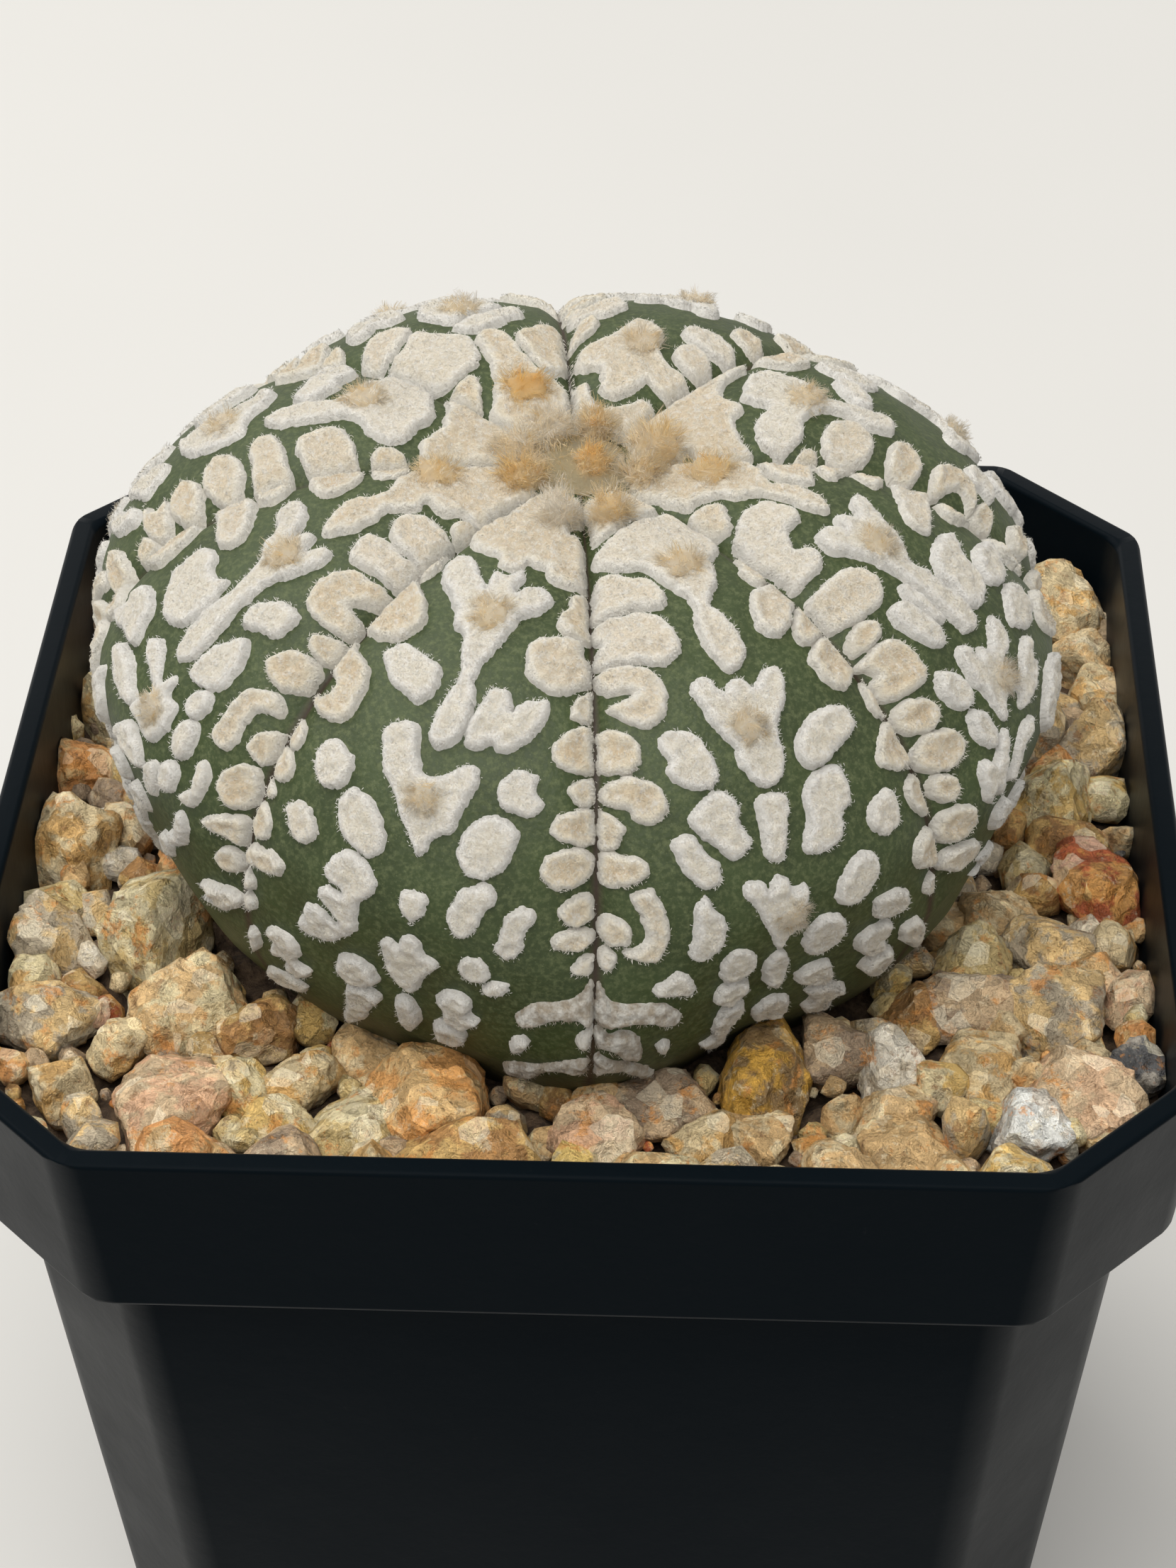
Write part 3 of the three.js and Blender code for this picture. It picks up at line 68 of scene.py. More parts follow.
# Between two angles from the crown, in degrees, the grooves fade and the stem draws in towards its
# foot, by its own measure at each groove and at each crest.
FOOT_START = 70.0
FOOT_END = 93.0
FOOT_GROOVES = [0.5, 2.3, 4.4, 3.2, 3.2, 3.2, 3.6, 2.3]
FOOT_CRESTS = [3.0, 3.4, 2.4, 2.4, 2.4, 2.4, 3.1, 2.2]
# Where the eight grooves run, in degrees round the stem. Rib n lies between groove n and the next.
GROOVES = [-85, -41, 6, 53, 96, 143, 187, 232]

# Points of the skin across a crease and a rib, its close rings from and to a length along the
# ribs, and the wider ones that go on from there to the neck.
CREASE_POINTS = 5
BOWL_POINTS = 19
FINE_RINGS = (0.5, 58, 104)
NECK_START = 59
NECK_RINGS = 8

# The felted part of a rib, and how near to its groove the flecks come, as a share of its width.
FELT_START = 4.4
FELT_END = 60.0
FLECK_EDGE = 0.985
FLECK_GAP = 0.06
SMALLEST_SIDE = 0.35
OUTLINE_CUTS = 5
FELT_SKIRT = 0.16
SMALLEST_FLECK = 1.2
SHRINK_STEPS = [1.0, 0.97, 0.94, 0.9, 0.84, 0.76]
TUFT_SPACING = 7.0
NUDGE_SEED = 7
# A simple fleck that comes this near to its groove runs on to it, and is longer by this share.
GROOVE_ROW = 0.72
GROOVE_ROW_GROWTH = 1.1

# Outlines of the simple flecks in a unit box: across to the right, along towards the base.
OVAL = [(0, -0.5), (0.45, -0.24), (0.44, 0.26), (0, 0.5), (-0.46, 0.22), (-0.42, -0.28)]
BEAN = [(-0.3, -0.5), (0.35, -0.42), (0.5, 0.1), (0.1, 0.5), (-0.5, 0.42), (-0.1, 0.08)]

# Flecks of each rib. A patch is a full outline in tenths of a millimetre: across and along, point
# by point. The rest is in millimetres. A simple fleck is its place along the rib from the crown
# and across it from the crest, its length and its width, and then its turn and its kind of outline
# if they aren't 0 and OVAL. Tufts stand at (along, across). The front shows each rib's left and
# right half down to the two places that "seen" gives.
FRONT_RIGHT = dict(seen=(99, 99), tufts=[(15.4, 0.8), (29.2, -0.4), (42.6, -0.2)], patches=[
    [-24, 68, -28, 84, -34, 102, -24, 98, -8, 90, 2, 84, 16, 83, 28, 78, 18, 46, -18, 46],
    [-41, 118, -22, 102, 0, 90, 18, 89, 32, 88, 39, 104, 48, 124, 54, 136, 46, 146, 32, 156,
     29, 168, 20, 184, 11, 192, 11, 200, 17, 210, 19, 226, 16, 242, 6, 251, -2, 249, -8, 234,
     -8, 210, -3, 199, -2, 188, -10, 168, -17, 152, -20, 148, -34, 141, -42, 130],
    [-33, 262, -28, 253, -19, 251, -12, 260, -9, 266, -4, 258, 5, 257, 12, 266, 18, 260, 26, 254,
     35, 257, 36, 268, 29, 284, 21, 294, 17, 306, 16, 320, 8, 332, -2, 335, -12, 330, -18, 318,
     -18, 304, -24, 294, -28, 278],
    [-37, 404, -32, 395, -22, 397, -18, 404, -12, 395, -4, 398, 0, 407, 11, 408, 10, 420, 6, 430,
     12, 442, 2, 446, -3, 454, -6, 462, -12, 454, -18, 440, -24, 426, -30, 414],
    [-146, 466, -134, 479, -120, 484, -100, 486, -88, 492, -80, 504, -82, 512, -90, 513, -104, 504,
     -120, 500, -146, 499],
    [-146, 504, -134, 513, -124, 512, -114, 518, -107, 532, -106, 546, -116, 544, -128, 532,
     -146, 520],
    [-146, 532, -128, 542, -116, 550, -104, 562, -92, 578, -85, 594, -94, 592, -106, 576, -116, 564,
     -126, 560, -146, 562],
    # Along the front groove.
    [-51, 145, -38, 145, -30, 154, -20, 160, -15, 174, -19, 185, -28, 187, -40, 184, -70, 185,
     -66, 166],
    [-74, 188, -44, 187, -28, 195, -23, 210, -26, 226, -38, 236, -50, 233, -60, 230, -86, 226,
     -84, 212, -74, 208, -76, 202],
    [-92, 240, -88, 229, -64, 229, -52, 235, -46, 246, -48, 262, -56, 276, -70, 282, -82, 276,
     -90, 268, -90, 260, -74, 256, -69, 254, -72, 251, -86, 250],
    [-106, 277, -86, 280, -80, 290, -81, 302, -90, 311, -114, 308, -114, 292],
    [-118, 320, -100, 313, -86, 314, -76, 322, -72, 332, -76, 343, -88, 347, -99, 343, -100, 336,
     -116, 332],
    [-128, 335, -116, 336, -106, 346, -109, 354, -116, 363, -134, 362],
    [-136, 368, -116, 366, -100, 370, -97, 380, -104, 388, -120, 391, -140, 388],
    # Across the rib from left to right.
    [-68, 296, -62, 286, -48, 284, -38, 292, -33, 310, -36, 325, -46, 329, -60, 324, -67, 314,
     -64, 304],
    [26, 324, 30, 310, 44, 299, 62, 296, 76, 302, 80, 314, 72, 322, 54, 328, 38, 333],
    [-62, 351, -56, 340, -42, 330, -32, 332, -25, 344, -28, 354, -24, 370, -38, 379, -48, 368],
    [-78, 362, -70, 357, -62, 358, -57, 370, -49, 381, -50, 392, -60, 396, -72, 386, -76, 374],
    [-14, 342, -2, 340, 8, 342, 9, 350, 4, 364, -1, 382, -8, 387, -16, 382, -14, 360],
    [21, 350, 28, 340, 42, 335, 56, 338, 58, 352, 56, 364, 48, 368, 46, 378, 38, 388, 20, 389,
     13, 382, 19, 368],
    [68, 384, 72, 372, 82, 367, 94, 369, 98, 380, 94, 394, 78, 396],
    [-114, 396, -98, 392, -92, 404, -90, 420, -92, 434, -99, 446, -114, 446, -123, 440, -114, 436,
     -106, 426, -108, 412],
    [-72, 410, -64, 400, -58, 404, -56, 412, -49, 420, -51, 438, -60, 449, -70, 452, -78, 444,
     -74, 428],
    [34, 420, 42, 406, 52, 399, 66, 402, 71, 416, 66, 428, 54, 437, 40, 434],
    [-103, 471, -96, 465, -86, 459, -78, 464, -71, 478, -78, 485, -90, 480, -100, 478],
    [-15, 476, -10, 466, -2, 465, 5, 480, 5, 500, 4, 516, -2, 518, -10, 506, -13, 490],
    [13, 456, 20, 442, 32, 440, 44, 448, 49, 468, 42, 479, 30, 484, 17, 474],
    [71, 450, 76, 445, 92, 445, 104, 453, 110, 466, 104, 474, 94, 475, 78, 468],
    [17, 518, 22, 500, 32, 496, 44, 500, 48, 514, 53, 530, 46, 536, 30, 528],
    [66, 488, 78, 478, 90, 477, 98, 484, 95, 500, 97, 514, 82, 518, 72, 504],
    [81, 536, 88, 524, 102, 519, 108, 530, 112, 546, 104, 558, 90, 552],
    [-48, 534, -42, 522, -30, 522, -24, 534, -28, 550, -30, 568, -28, 586, -36, 598, -46, 584,
     -54, 570, -46, 564, -49, 550],
    [-14, 544, 0, 534, 14, 540, 19, 552, 18, 574, 4, 570, -8, 566],
    [31, 542, 46, 538, 60, 548, 73, 566, 62, 569, 67, 596, 46, 588, 36, 576, 40, 560],
    [-95, 538, -89, 535, -84, 544, -86, 552, -91, 548],
    # Along the right groove.
    [66, 152, 52, 166, 48, 178, 52, 189, 60, 192, 76, 186, 70, 166],
    [39, 206, 46, 195, 60, 193, 76, 189, 86, 214, 72, 222, 62, 232, 48, 237, 38, 230, 35, 220],
    [60, 240, 68, 229, 84, 218, 92, 218, 100, 244, 84, 248, 68, 250],
    [63, 260, 72, 253, 100, 248, 108, 260, 98, 267, 112, 274, 112, 282, 96, 286, 83, 291, 70, 282,
     65, 270],
    [99, 302, 116, 290, 126, 314, 124, 324, 102, 318],
    [89, 346, 96, 334, 108, 327, 130, 327, 134, 340, 136, 364, 110, 362, 96, 356],
    [110, 374, 122, 369, 138, 376, 142, 406, 124, 400, 112, 390],
    [108, 424, 116, 413, 130, 414, 148, 420, 148, 449, 128, 446, 112, 436],
    [110, 500, 120, 494, 130, 498, 140, 516, 144, 540, 138, 548, 126, 532, 114, 516],
], flecks=[
    (42.4, -12.9, 2.4, 2.8), (44.6, -13.6, 1.8, 1.6), (46.4, -13.2, 1.5, 2.2),
    (46.7, -3.9, 3.7, 2.9, -12), (50.1, -3.9, 3.2, 2.9), (46.9, 13.8, 2, 1.6),
])
RIGHT = dict(seen=(99, 38), tufts=[(9.6, 1.8), (23, -0.8), (36, -2.8)], patches=[
    [-24, 74, -29, 96, -20, 101, -10, 114, -12, 124, -4, 134, 0, 146, -2, 168, -1, 184, 6, 189,
     15, 182, 20, 170, 19, 154, 17, 142, 30, 135, 42, 126, 48, 120, 44, 102, 34, 82, 24, 66, 18, 46,
     -18, 46],
    [-36, 206, -30, 192, -18, 190, -10, 198, -9, 206, -4, 195, 4, 196, 10, 207, 20, 201, 34, 201,
     37, 208, 24, 224, 14, 240, 2, 250, -5, 258, -2, 272, -3, 300, -6, 318, -16, 322, -26, 316,
     -26, 300, -24, 276, -24, 256, -25, 232, -30, 218],
    [-55, 340, -50, 325, -42, 319, -36, 324, -35, 334, -26, 330, -20, 338, -4, 329, 6, 326, 12, 334,
     8, 346, -4, 352, -18, 354, -16, 362, -6, 368, 6, 362, 24, 360, 32, 368, 20, 376, 25, 383,
     8, 388, -8, 392, -24, 390, -30, 386, -24, 376, -38, 372, -46, 382, -53, 382, -54, 360],
    # Left of the middle.
    [-38, 104, -24, 106, -20, 118, -30, 128, -46, 139, -50, 124],
    [-54, 140, -34, 133, -18, 132, -6, 140, -3, 156, -6, 170, -14, 174, -30, 172, -38, 178,
     -46, 186, -40, 192, -40, 204, -52, 212, -74, 214, -84, 212, -78, 194, -70, 168, -60, 150],
    [-96, 244, -84, 220, -54, 219, -39, 228, -38, 244, -50, 255, -68, 257, -94, 252],
    [-102, 266, -92, 257, -78, 258, -72, 266, -80, 275, -104, 275],
    [-110, 280, -82, 277, -74, 288, -76, 308, -86, 319, -102, 318, -120, 314, -116, 298, -108, 294],
    [-62, 274, -52, 265, -42, 269, -40, 286, -42, 304, -50, 311, -60, 302],
    [-39, 270, -34, 260, -28, 262, -28, 284, -30, 298, -36, 300, -39, 290],
    [-99, 400, -94, 393, -86, 394, -82, 400, -76, 398, -64, 388, -54, 386, -56, 396, -66, 406,
     -74, 416, -82, 431, -88, 420, -94, 429, -100, 422],
    [-70, 422, -54, 406, -36, 397, -19, 400, -26, 408, -46, 414, -62, 428],
    # Right of the middle.
    [24, 149, 32, 138, 50, 129, 62, 142, 72, 169, 50, 171, 32, 172, 26, 160],
    [47, 180, 56, 173, 76, 172, 82, 186, 88, 200, 62, 194, 50, 188],
    [60, 214, 68, 203, 88, 202, 96, 218, 98, 230, 78, 226, 64, 222],
    [32, 252, 40, 241, 64, 233, 90, 234, 104, 240, 112, 266, 80, 263, 42, 264],
    [0, 294, 6, 276, 20, 268, 40, 269, 58, 280, 52, 288, 39, 296, 38, 310, 24, 318, 8, 318,
     -1, 308],
    [39, 316, 48, 306, 66, 303, 86, 312, 94, 320, 80, 332, 64, 334, 48, 328],
    [20, 346, 32, 337, 50, 333, 66, 339, 74, 352, 68, 366, 46, 366, 30, 359],
    [86, 276, 104, 276, 120, 294, 122, 309, 104, 304, 88, 288],
    [69, 380, 84, 374, 110, 378, 130, 394, 144, 414, 134, 424, 110, 416, 86, 404],
    [0, 416, 20, 402, 50, 398, 70, 408, 100, 430, 108, 444, 96, 460, 66, 466, 40, 454, 10, 434],
], flecks=[
    (33.8, -7.3, 3.6, 2.4), (37.5, -7.3, 3.8, 2.4), (33.6, -11, 2.6, 3.4), (36.7, -11.2, 3.1, 4),
    (39.3, -12.8, 3, 2.8), (42.6, -12.8, 2.9, 3.6), (46, -11.8, 2.3, 4.3, 20), (47, -3, 2.6, 3),
    (45.6, -7, 3.4, 2.5, -20), (50, -8, 2, 4, 0, BEAN), (50.4, -1, 2, 3), (34.4, 11, 3, 2.2, -20),
])
BACK_RIGHT = dict(seen=(28, 22), tufts=[(18.6, -0.6)], patches=[
    [-18, 46, 18, 46, 26, 70, 36, 94, 50, 122, 62, 154, 72, 184, 59, 182, 52, 164, 42, 150, 28, 136,
     14, 133, 2, 137, -8, 126, -24, 122, -46, 128, -48, 114, -38, 90, -22, 80, -28, 70],
    [-56, 150, -46, 138, -30, 133, -15, 139, -6, 154, 2, 148, 16, 144, 26, 154, 38, 164, 46, 176,
     40, 188, 24, 198, 8, 204, -6, 206, -18, 228, -28, 250, -46, 248, -44, 228, -26, 210, -20, 190,
     -30, 174, -46, 168],
], flecks=[
    (20.3, -5.6, 4.2, 4.4), (16.8, -6.6, 2.2, 2), (25, -7.6, 2.8, 4), (29.6, -8.6, 4, 3.6, 0, BEAN),
    (22.4, 6.6, 4, 3, -30), (23.6, 0.4, 2.4, 4.6),
])
REAR_RIGHT = dict(seen=(22, 19), tufts=[(15.2, 0)], patches=[
    [-18, 46, 18, 46, 24, 64, 32, 82, 40, 99, 25, 99, 20, 89, 13, 78, 6, 73, -4, 75, -12, 83,
     -20, 93, -36, 89, -26, 64],
    [-16, 110, -10, 92, 2, 84, 14, 92, 20, 114, 34, 118, 45, 130, 44, 146, 30, 158, 22, 172,
     18, 188, 4, 190, -9, 176, -14, 154, -24, 140, -46, 135, -48, 120, -38, 108, -26, 106],
], flecks=[
    (15.9, -4.1, 3, 3.4), (19.1, -4.6, 3, 5), (23, -6.4, 2.8, 2.6), (17.6, 5.4, 4.4, 2, 10),
    (12.2, 5, 3.4, 1.2),
])
REAR_LEFT = dict(seen=(20, 25), tufts=[(9.6, -0.3), (22.5, -1)], patches=[
    [-18, 46, 18, 46, 24, 66, 32, 87, 25, 97, 15, 114, 8, 134, 6, 154, 2, 172, -9, 175, -21, 166,
     -22, 140, -25, 116, -31, 104, -35, 92, -29, 80, -23, 64],
    [-44, 118, -32, 114, -26, 126, -25, 160, -31, 170, -44, 176, -56, 186, -72, 180, -62, 150,
     -52, 128],
    [24, 120, 30, 108, 38, 96, 48, 108, 56, 126, 44, 130, 28, 131],
    [10, 146, 20, 136, 36, 134, 50, 135, 60, 150, 74, 170, 84, 192, 70, 195, 56, 198, 44, 206,
     34, 208, 26, 194, 10, 178, 7, 162],
    [35, 218, 46, 210, 60, 202, 80, 200, 88, 220, 74, 234, 60, 240, 48, 236],
    [-54, 206, -40, 196, -20, 183, -4, 179, 6, 186, 10, 196, -10, 202, -30, 210, -50, 218],
    [-44, 224, -16, 212, 8, 206, 20, 234, 6, 266, -16, 274, -30, 250],
], flecks=[])
BACK_LEFT = dict(seen=(22, 34), tufts=[(17, -1), (28.2, 1)], patches=[
    [-18, 46, 18, 46, 24, 66, 34, 86, 44, 112, 35, 117, 22, 117, 12, 112, 0, 107, -12, 111,
     -22, 113, -34, 120, -50, 129, -48, 114, -38, 90, -26, 66],
    [-56, 144, -36, 131, -20, 122, -4, 116, 8, 122, 24, 128, 31, 140, 28, 156, 16, 166, 12, 180,
     18, 198, 22, 214, 26, 228, 20, 242, 10, 240, 0, 224, -4, 206, -6, 194, -20, 188, -40, 184,
     -56, 178, -74, 176, -66, 156],
    [39, 129, 52, 123, 60, 136, 66, 150, 50, 154, 39, 150, 35, 140],
    [29, 174, 40, 166, 66, 162, 74, 178, 84, 198, 64, 204, 50, 210, 40, 208, 30, 196, 26, 184],
    [36, 230, 46, 220, 62, 216, 86, 214, 90, 228, 92, 244, 64, 245, 48, 248, 38, 242],
    [-86, 228, -66, 210, -40, 204, -16, 206, -7, 216, -8, 228, -30, 232, -60, 236, -86, 244],
    [-40, 262, -16, 252, 4, 258, 28, 256, 39, 280, 34, 306, 10, 324, -10, 300, -18, 280],
], flecks=[
    (26.8, 6.6, 3.2, 3.4), (30.1, 8.4, 2.8, 4), (33.1, 8.4, 3.2, 4.4, 0, BEAN),
])
LEFT = dict(seen=(37, 99), tufts=[(10.8, -1.9), (23.8, 0.6), (38, 2.4)], patches=[
    [-36, 80, -46, 108, -36, 122, -26, 137, -17, 146, -12, 159, -17, 172, -12, 190, -2, 204, 6, 206,
     13, 190, 13, 172, 7, 160, 12, 149, 14, 136, 9, 129, 23, 127, 29, 114, 42, 108, 38, 92, 26, 68,
     18, 46, -18, 46, -26, 66],
    [-46, 220, -42, 209, -30, 207, -12, 216, -6, 226, -3, 215, 6, 213, 12, 226, 17, 213, 27, 212,
     31, 226, 25, 246, 21, 260, 22, 280, 24, 304, 28, 328, 19, 342, 11, 341, 3, 326, 1, 300, 3, 284,
     0, 270, -4, 256, -16, 246, -24, 234, -38, 229],
    [-23, 352, -16, 344, -2, 347, 10, 356, 17, 360, 22, 351, 29, 353, 32, 364, 41, 366, 45, 382,
     42, 394, 34, 402, 20, 399, 4, 396, 4, 384, 12, 372, 0, 366, -16, 360],
    [-60, 300, -56, 284, -40, 280, -22, 287, -6, 280, -1, 296, -3, 316, -7, 326, -22, 334, -38, 330,
     -58, 314],
    # Right of the middle, along the groove.
    [34, 122, 36, 114, 46, 110, 54, 130, 44, 132],
    [18, 148, 24, 137, 42, 134, 58, 136, 66, 156, 70, 170, 42, 172, 26, 168, 18, 158],
    [23, 186, 30, 176, 50, 174, 72, 172, 80, 196, 58, 201, 40, 206, 28, 198],
    [42, 226, 50, 209, 66, 205, 86, 204, 86, 216, 74, 228, 75, 232, 90, 236, 96, 250, 80, 256,
     60, 254, 46, 242],
    [78, 266, 84, 259, 102, 255, 108, 275, 88, 277],
    [71, 296, 80, 281, 98, 279, 108, 290, 110, 304, 94, 311, 78, 306],
    [78, 330, 84, 319, 98, 314, 110, 320, 111, 328, 98, 332, 97, 344, 100, 360, 96, 368, 82, 367,
     78, 354],
    [106, 426, 116, 414, 134, 407, 146, 412, 142, 430, 128, 429],
    [28, 280, 32, 268, 46, 258, 62, 262, 64, 274, 60, 286, 48, 287, 36, 293],
    [30, 330, 34, 314, 46, 297, 56, 302, 62, 316, 64, 332, 56, 341, 34, 344],
    [-11, 418, 0, 407, 14, 404, 28, 412, 34, 424, 22, 428, 6, 426, -8, 424],
    # Left of the middle.
    [-78, 172, -68, 159, -50, 158, -38, 164, -32, 180, -37, 194, -56, 198, -84, 198],
    [-58, 130, -48, 125, -36, 126, -30, 138, -36, 150, -48, 155, -64, 152],
    [-96, 222, -80, 216, -70, 213, -64, 226, -72, 238, -86, 242, -102, 244],
    [-108, 250, -90, 245, -70, 243, -46, 248, -36, 258, -40, 270, -54, 276, -80, 273, -114, 276],
    [-120, 296, -94, 290, -87, 304, -88, 320, -98, 336, -134, 344, -130, 320],
    [-94, 376, -84, 360, -83, 346, -66, 336, -50, 340, -44, 348, -36, 364, -44, 370, -62, 371,
     -76, 377],
    [-59, 383, -50, 374, -30, 373, -12, 382, 0, 389, -8, 397, -28, 398, -44, 392],
], flecks=[
    (35, 12.2, 3, 2.8), (38.6, 12.2, 3.6, 3.4), (44.8, 13.4, 2.2, 2.4), (35.4, 5.6, 2.4, 2),
    (38, 6.3, 3.3, 2.3, -10), (41.2, 6.4, 2.6, 1.9), (40.3, 9, 3.6, 1.9, 0, BEAN),
    (42.4, 4.7, 3.8, 1.9), (45.4, 7.8, 4.6, 1.9, 24, BEAN), (49.6, 11.6, 2, 5.6, -24, BEAN),
    (46.6, 1.6, 3, 2.4, 20), (49, 5, 3, 2.2, 20), (46, -2, 2.6, 3),
])
FRONT_LEFT = dict(seen=(99, 99), tufts=[(20.2, 0.5), (34.2, 0.2)], patches=[
    [-24, 66, -30, 86, -40, 104, -43, 120, -36, 134, -24, 141, -12, 142, -10, 150, -3, 155, 4, 154,
     9, 148, 11, 141, 16, 145, 24, 143, 26, 150, 34, 156, 48, 155, 53, 146, 46, 126, 40, 108,
     34, 97, 23, 93, 21, 84, 26, 72, 18, 46, -18, 46],
    [-46, 162, -42, 153, -33, 150, -26, 154, -18, 163, -11, 172, -8, 179, -8, 168, -7, 159, 3, 159,
     10, 152, 14, 158, 13, 174, 17, 169, 26, 166, 36, 170, 39, 178, 33, 189, 24, 198, 21, 210,
     19, 222, 14, 236, 10, 246, 13, 260, 16, 276, 15, 290, 10, 300, 2, 306, -5, 302, -8, 290,
     -6, 270, -1, 250, -6, 234, -10, 221, -18, 216, -22, 202, -30, 192, -41, 182, -46, 172],
    [-40, 306, -35, 297, -24, 293, -17, 296, -13, 306, -9, 318, -4, 326, 6, 326, 14, 322, 19, 316,
     28, 313, 34, 317, 35, 328, 31, 338, 28, 350, 25, 360, 14, 368, 12, 375, 7, 381, 2, 376,
     -3, 369, -10, 360, -16, 352, -22, 342, -29, 334, -35, 322],
    [-15, 456, -11, 448, -6, 448, -1, 453, 2, 444, 9, 439, 16, 444, 18, 455, 24, 458, 28, 465,
     18, 480, 11, 498, 3, 502, -5, 492, -12, 480],
    [-59, 407, -49, 393, -36, 391, -20, 402, -20, 414, -29, 425, -32, 440, -34, 450, -50, 468,
     -62, 474, -76, 474, -84, 466, -78, 458, -76, 449, -66, 442, -56, 446, -50, 449, -49, 445,
     -61, 434, -62, 426, -55, 421, -44, 421, -48, 417, -56, 414],
    [86, 500, 92, 490, 100, 485, 116, 482, 126, 478, 133, 469, 146, 465, 146, 498, 126, 494,
     112, 497, 98, 504, 90, 506],
    [69, 582, 76, 570, 96, 559, 114, 546, 134, 538, 146, 534, 146, 558, 124, 562, 114, 560,
     100, 570, 88, 590, 74, 590],
    # Along the front groove.
    [54, 157, 48, 168, 51, 178, 47, 186, 48, 194, 54, 201, 62, 204, 82, 203, 76, 180, 68, 158],
    [40, 214, 48, 208, 64, 206, 71, 207, 74, 219, 88, 219, 94, 234, 86, 242, 74, 252, 60, 252,
     46, 244, 39, 232, 37, 222],
    [90, 244, 82, 252, 79, 261, 82, 269, 92, 272, 108, 270, 102, 249],
    [80, 284, 88, 276, 100, 273, 112, 274, 118, 294, 118, 308, 98, 310, 83, 306, 76, 294],
    [95, 322, 100, 314, 112, 312, 124, 313, 128, 331, 104, 332],
    [90, 350, 93, 340, 104, 335, 126, 334, 132, 346, 132, 359, 112, 361, 98, 358],
    # Along the left groove.
    [-58, 144, -51, 146, -50, 162, -54, 174, -60, 180, -72, 176, -68, 158],
    [-74, 182, -56, 191, -46, 202, -40, 216, -43, 228, -52, 239, -70, 243, -92, 238, -94, 230,
     -86, 206],
    [-98, 248, -84, 256, -70, 264, -64, 274, -65, 292, -70, 306, -86, 313, -100, 309, -114, 300,
     -97, 297, -90, 290, -92, 284, -110, 278, -106, 262],
    [-144, 426, -120, 419, -104, 415, -95, 424, -102, 433, -120, 437, -144, 441],
    # Across the rib from left to right.
    [-60, 254, -56, 245, -46, 241, -30, 243, -15, 250, -12, 264, -18, 276, -27, 279, -44, 272,
     -54, 262],
    [17, 286, 20, 268, 24, 257, 35, 256, 40, 266, 43, 271, 49, 262, 62, 259, 66, 268, 64, 284,
     52, 298, 42, 300, 36, 294, 28, 302, 19, 299],
    [49, 326, 54, 314, 64, 311, 74, 315, 75, 325, 82, 333, 78, 341, 66, 342, 54, 338],
    [-59, 362, -52, 350, -40, 349, -28, 356, -19, 370, -17, 380, -26, 389, -36, 388, -52, 380],
    [32, 366, 40, 350, 54, 344, 68, 352, 70, 366, 64, 382, 50, 388, 38, 384],
    [-100, 380, -92, 372, -78, 374, -69, 386, -74, 396, -88, 398, -96, 389],
    [33, 416, 38, 400, 48, 393, 60, 393, 64, 402, 58, 410, 56, 422, 48, 433, 38, 430],
    [0, 406, 18, 404, 18, 418, 10, 429, 2, 422],
    [72, 412, 84, 405, 93, 414, 88, 424, 88, 438, 79, 446, 68, 440, 70, 428],
    [-118, 497, -110, 488, -94, 488, -86, 504, -92, 518, -80, 522, -80, 532, -92, 542, -104, 534,
     -100, 522, -114, 522, -112, 504],
    [26, 504, 34, 492, 48, 490, 54, 500, 52, 510, 58, 518, 50, 530, 39, 534, 29, 524, 30, 514],
    [21, 544, 30, 537, 42, 538, 45, 548, 40, 564, 28, 569, 18, 560],
    [-48, 526, -38, 519, -26, 522, -21, 532, -30, 546, -36, 564, -50, 588, -60, 586, -54, 560,
     -50, 540],
    [80, 543, 83, 530, 92, 523, 95, 528, 89, 540],
    [128, 518, 136, 508, 146, 502, 146, 524, 132, 527],
    [-126, 560, -110, 550, -86, 552, -90, 566, -106, 574, -128, 580],
], flecks=[
    (33.1, -11.2, 2.4, 2.4), (35.5, -11.8, 2.6, 3.4), (37.6, -12.6, 1.5, 2.6, 10),
    (40.1, -12.6, 2.8, 3.2), (45.7, -13.6, 2, 1.8), (47.8, -13.8, 1.8, 2, -20),
    (52.4, -13.6, 3.4, 1.6, 10), (37.7, 9.9, 2.8, 3), (38.2, 12.8, 1.8, 1.6), (40.8, 12.3, 2.5, 3),
    (43, 12.2, 1.8, 3.2), (45, 13.2, 1.6, 2.2, -20), (33.9, -7, 3.4, 3.2), (46, 5.5, 2.6, 2.4),
    (47.4, 7, 1.7, 2.7, -20), (45.9, 10.2, 2.3, 2), (49.8, -3.8, 3.6, 3.3), (54, 0, 4.6, 1.8),
])
RIBS = [FRONT_RIGHT, RIGHT, BACK_RIGHT, REAR_RIGHT, REAR_LEFT, BACK_LEFT, LEFT, FRONT_LEFT]
# The felt beside the front groove turns corky from here down, on that side of each of its ribs.
CORKY_FROM = 47.5
FRONT_GROOVE_SIDE = {7: 1, 0: -1}
# The side that the front doesn't show: each rib there takes its lower flecks from a front rib.
LENDERS = {1: (0, True), 2: (7, True), 3: (0, False), 4: (7, False), 5: (0, True), 6: (0, False)}

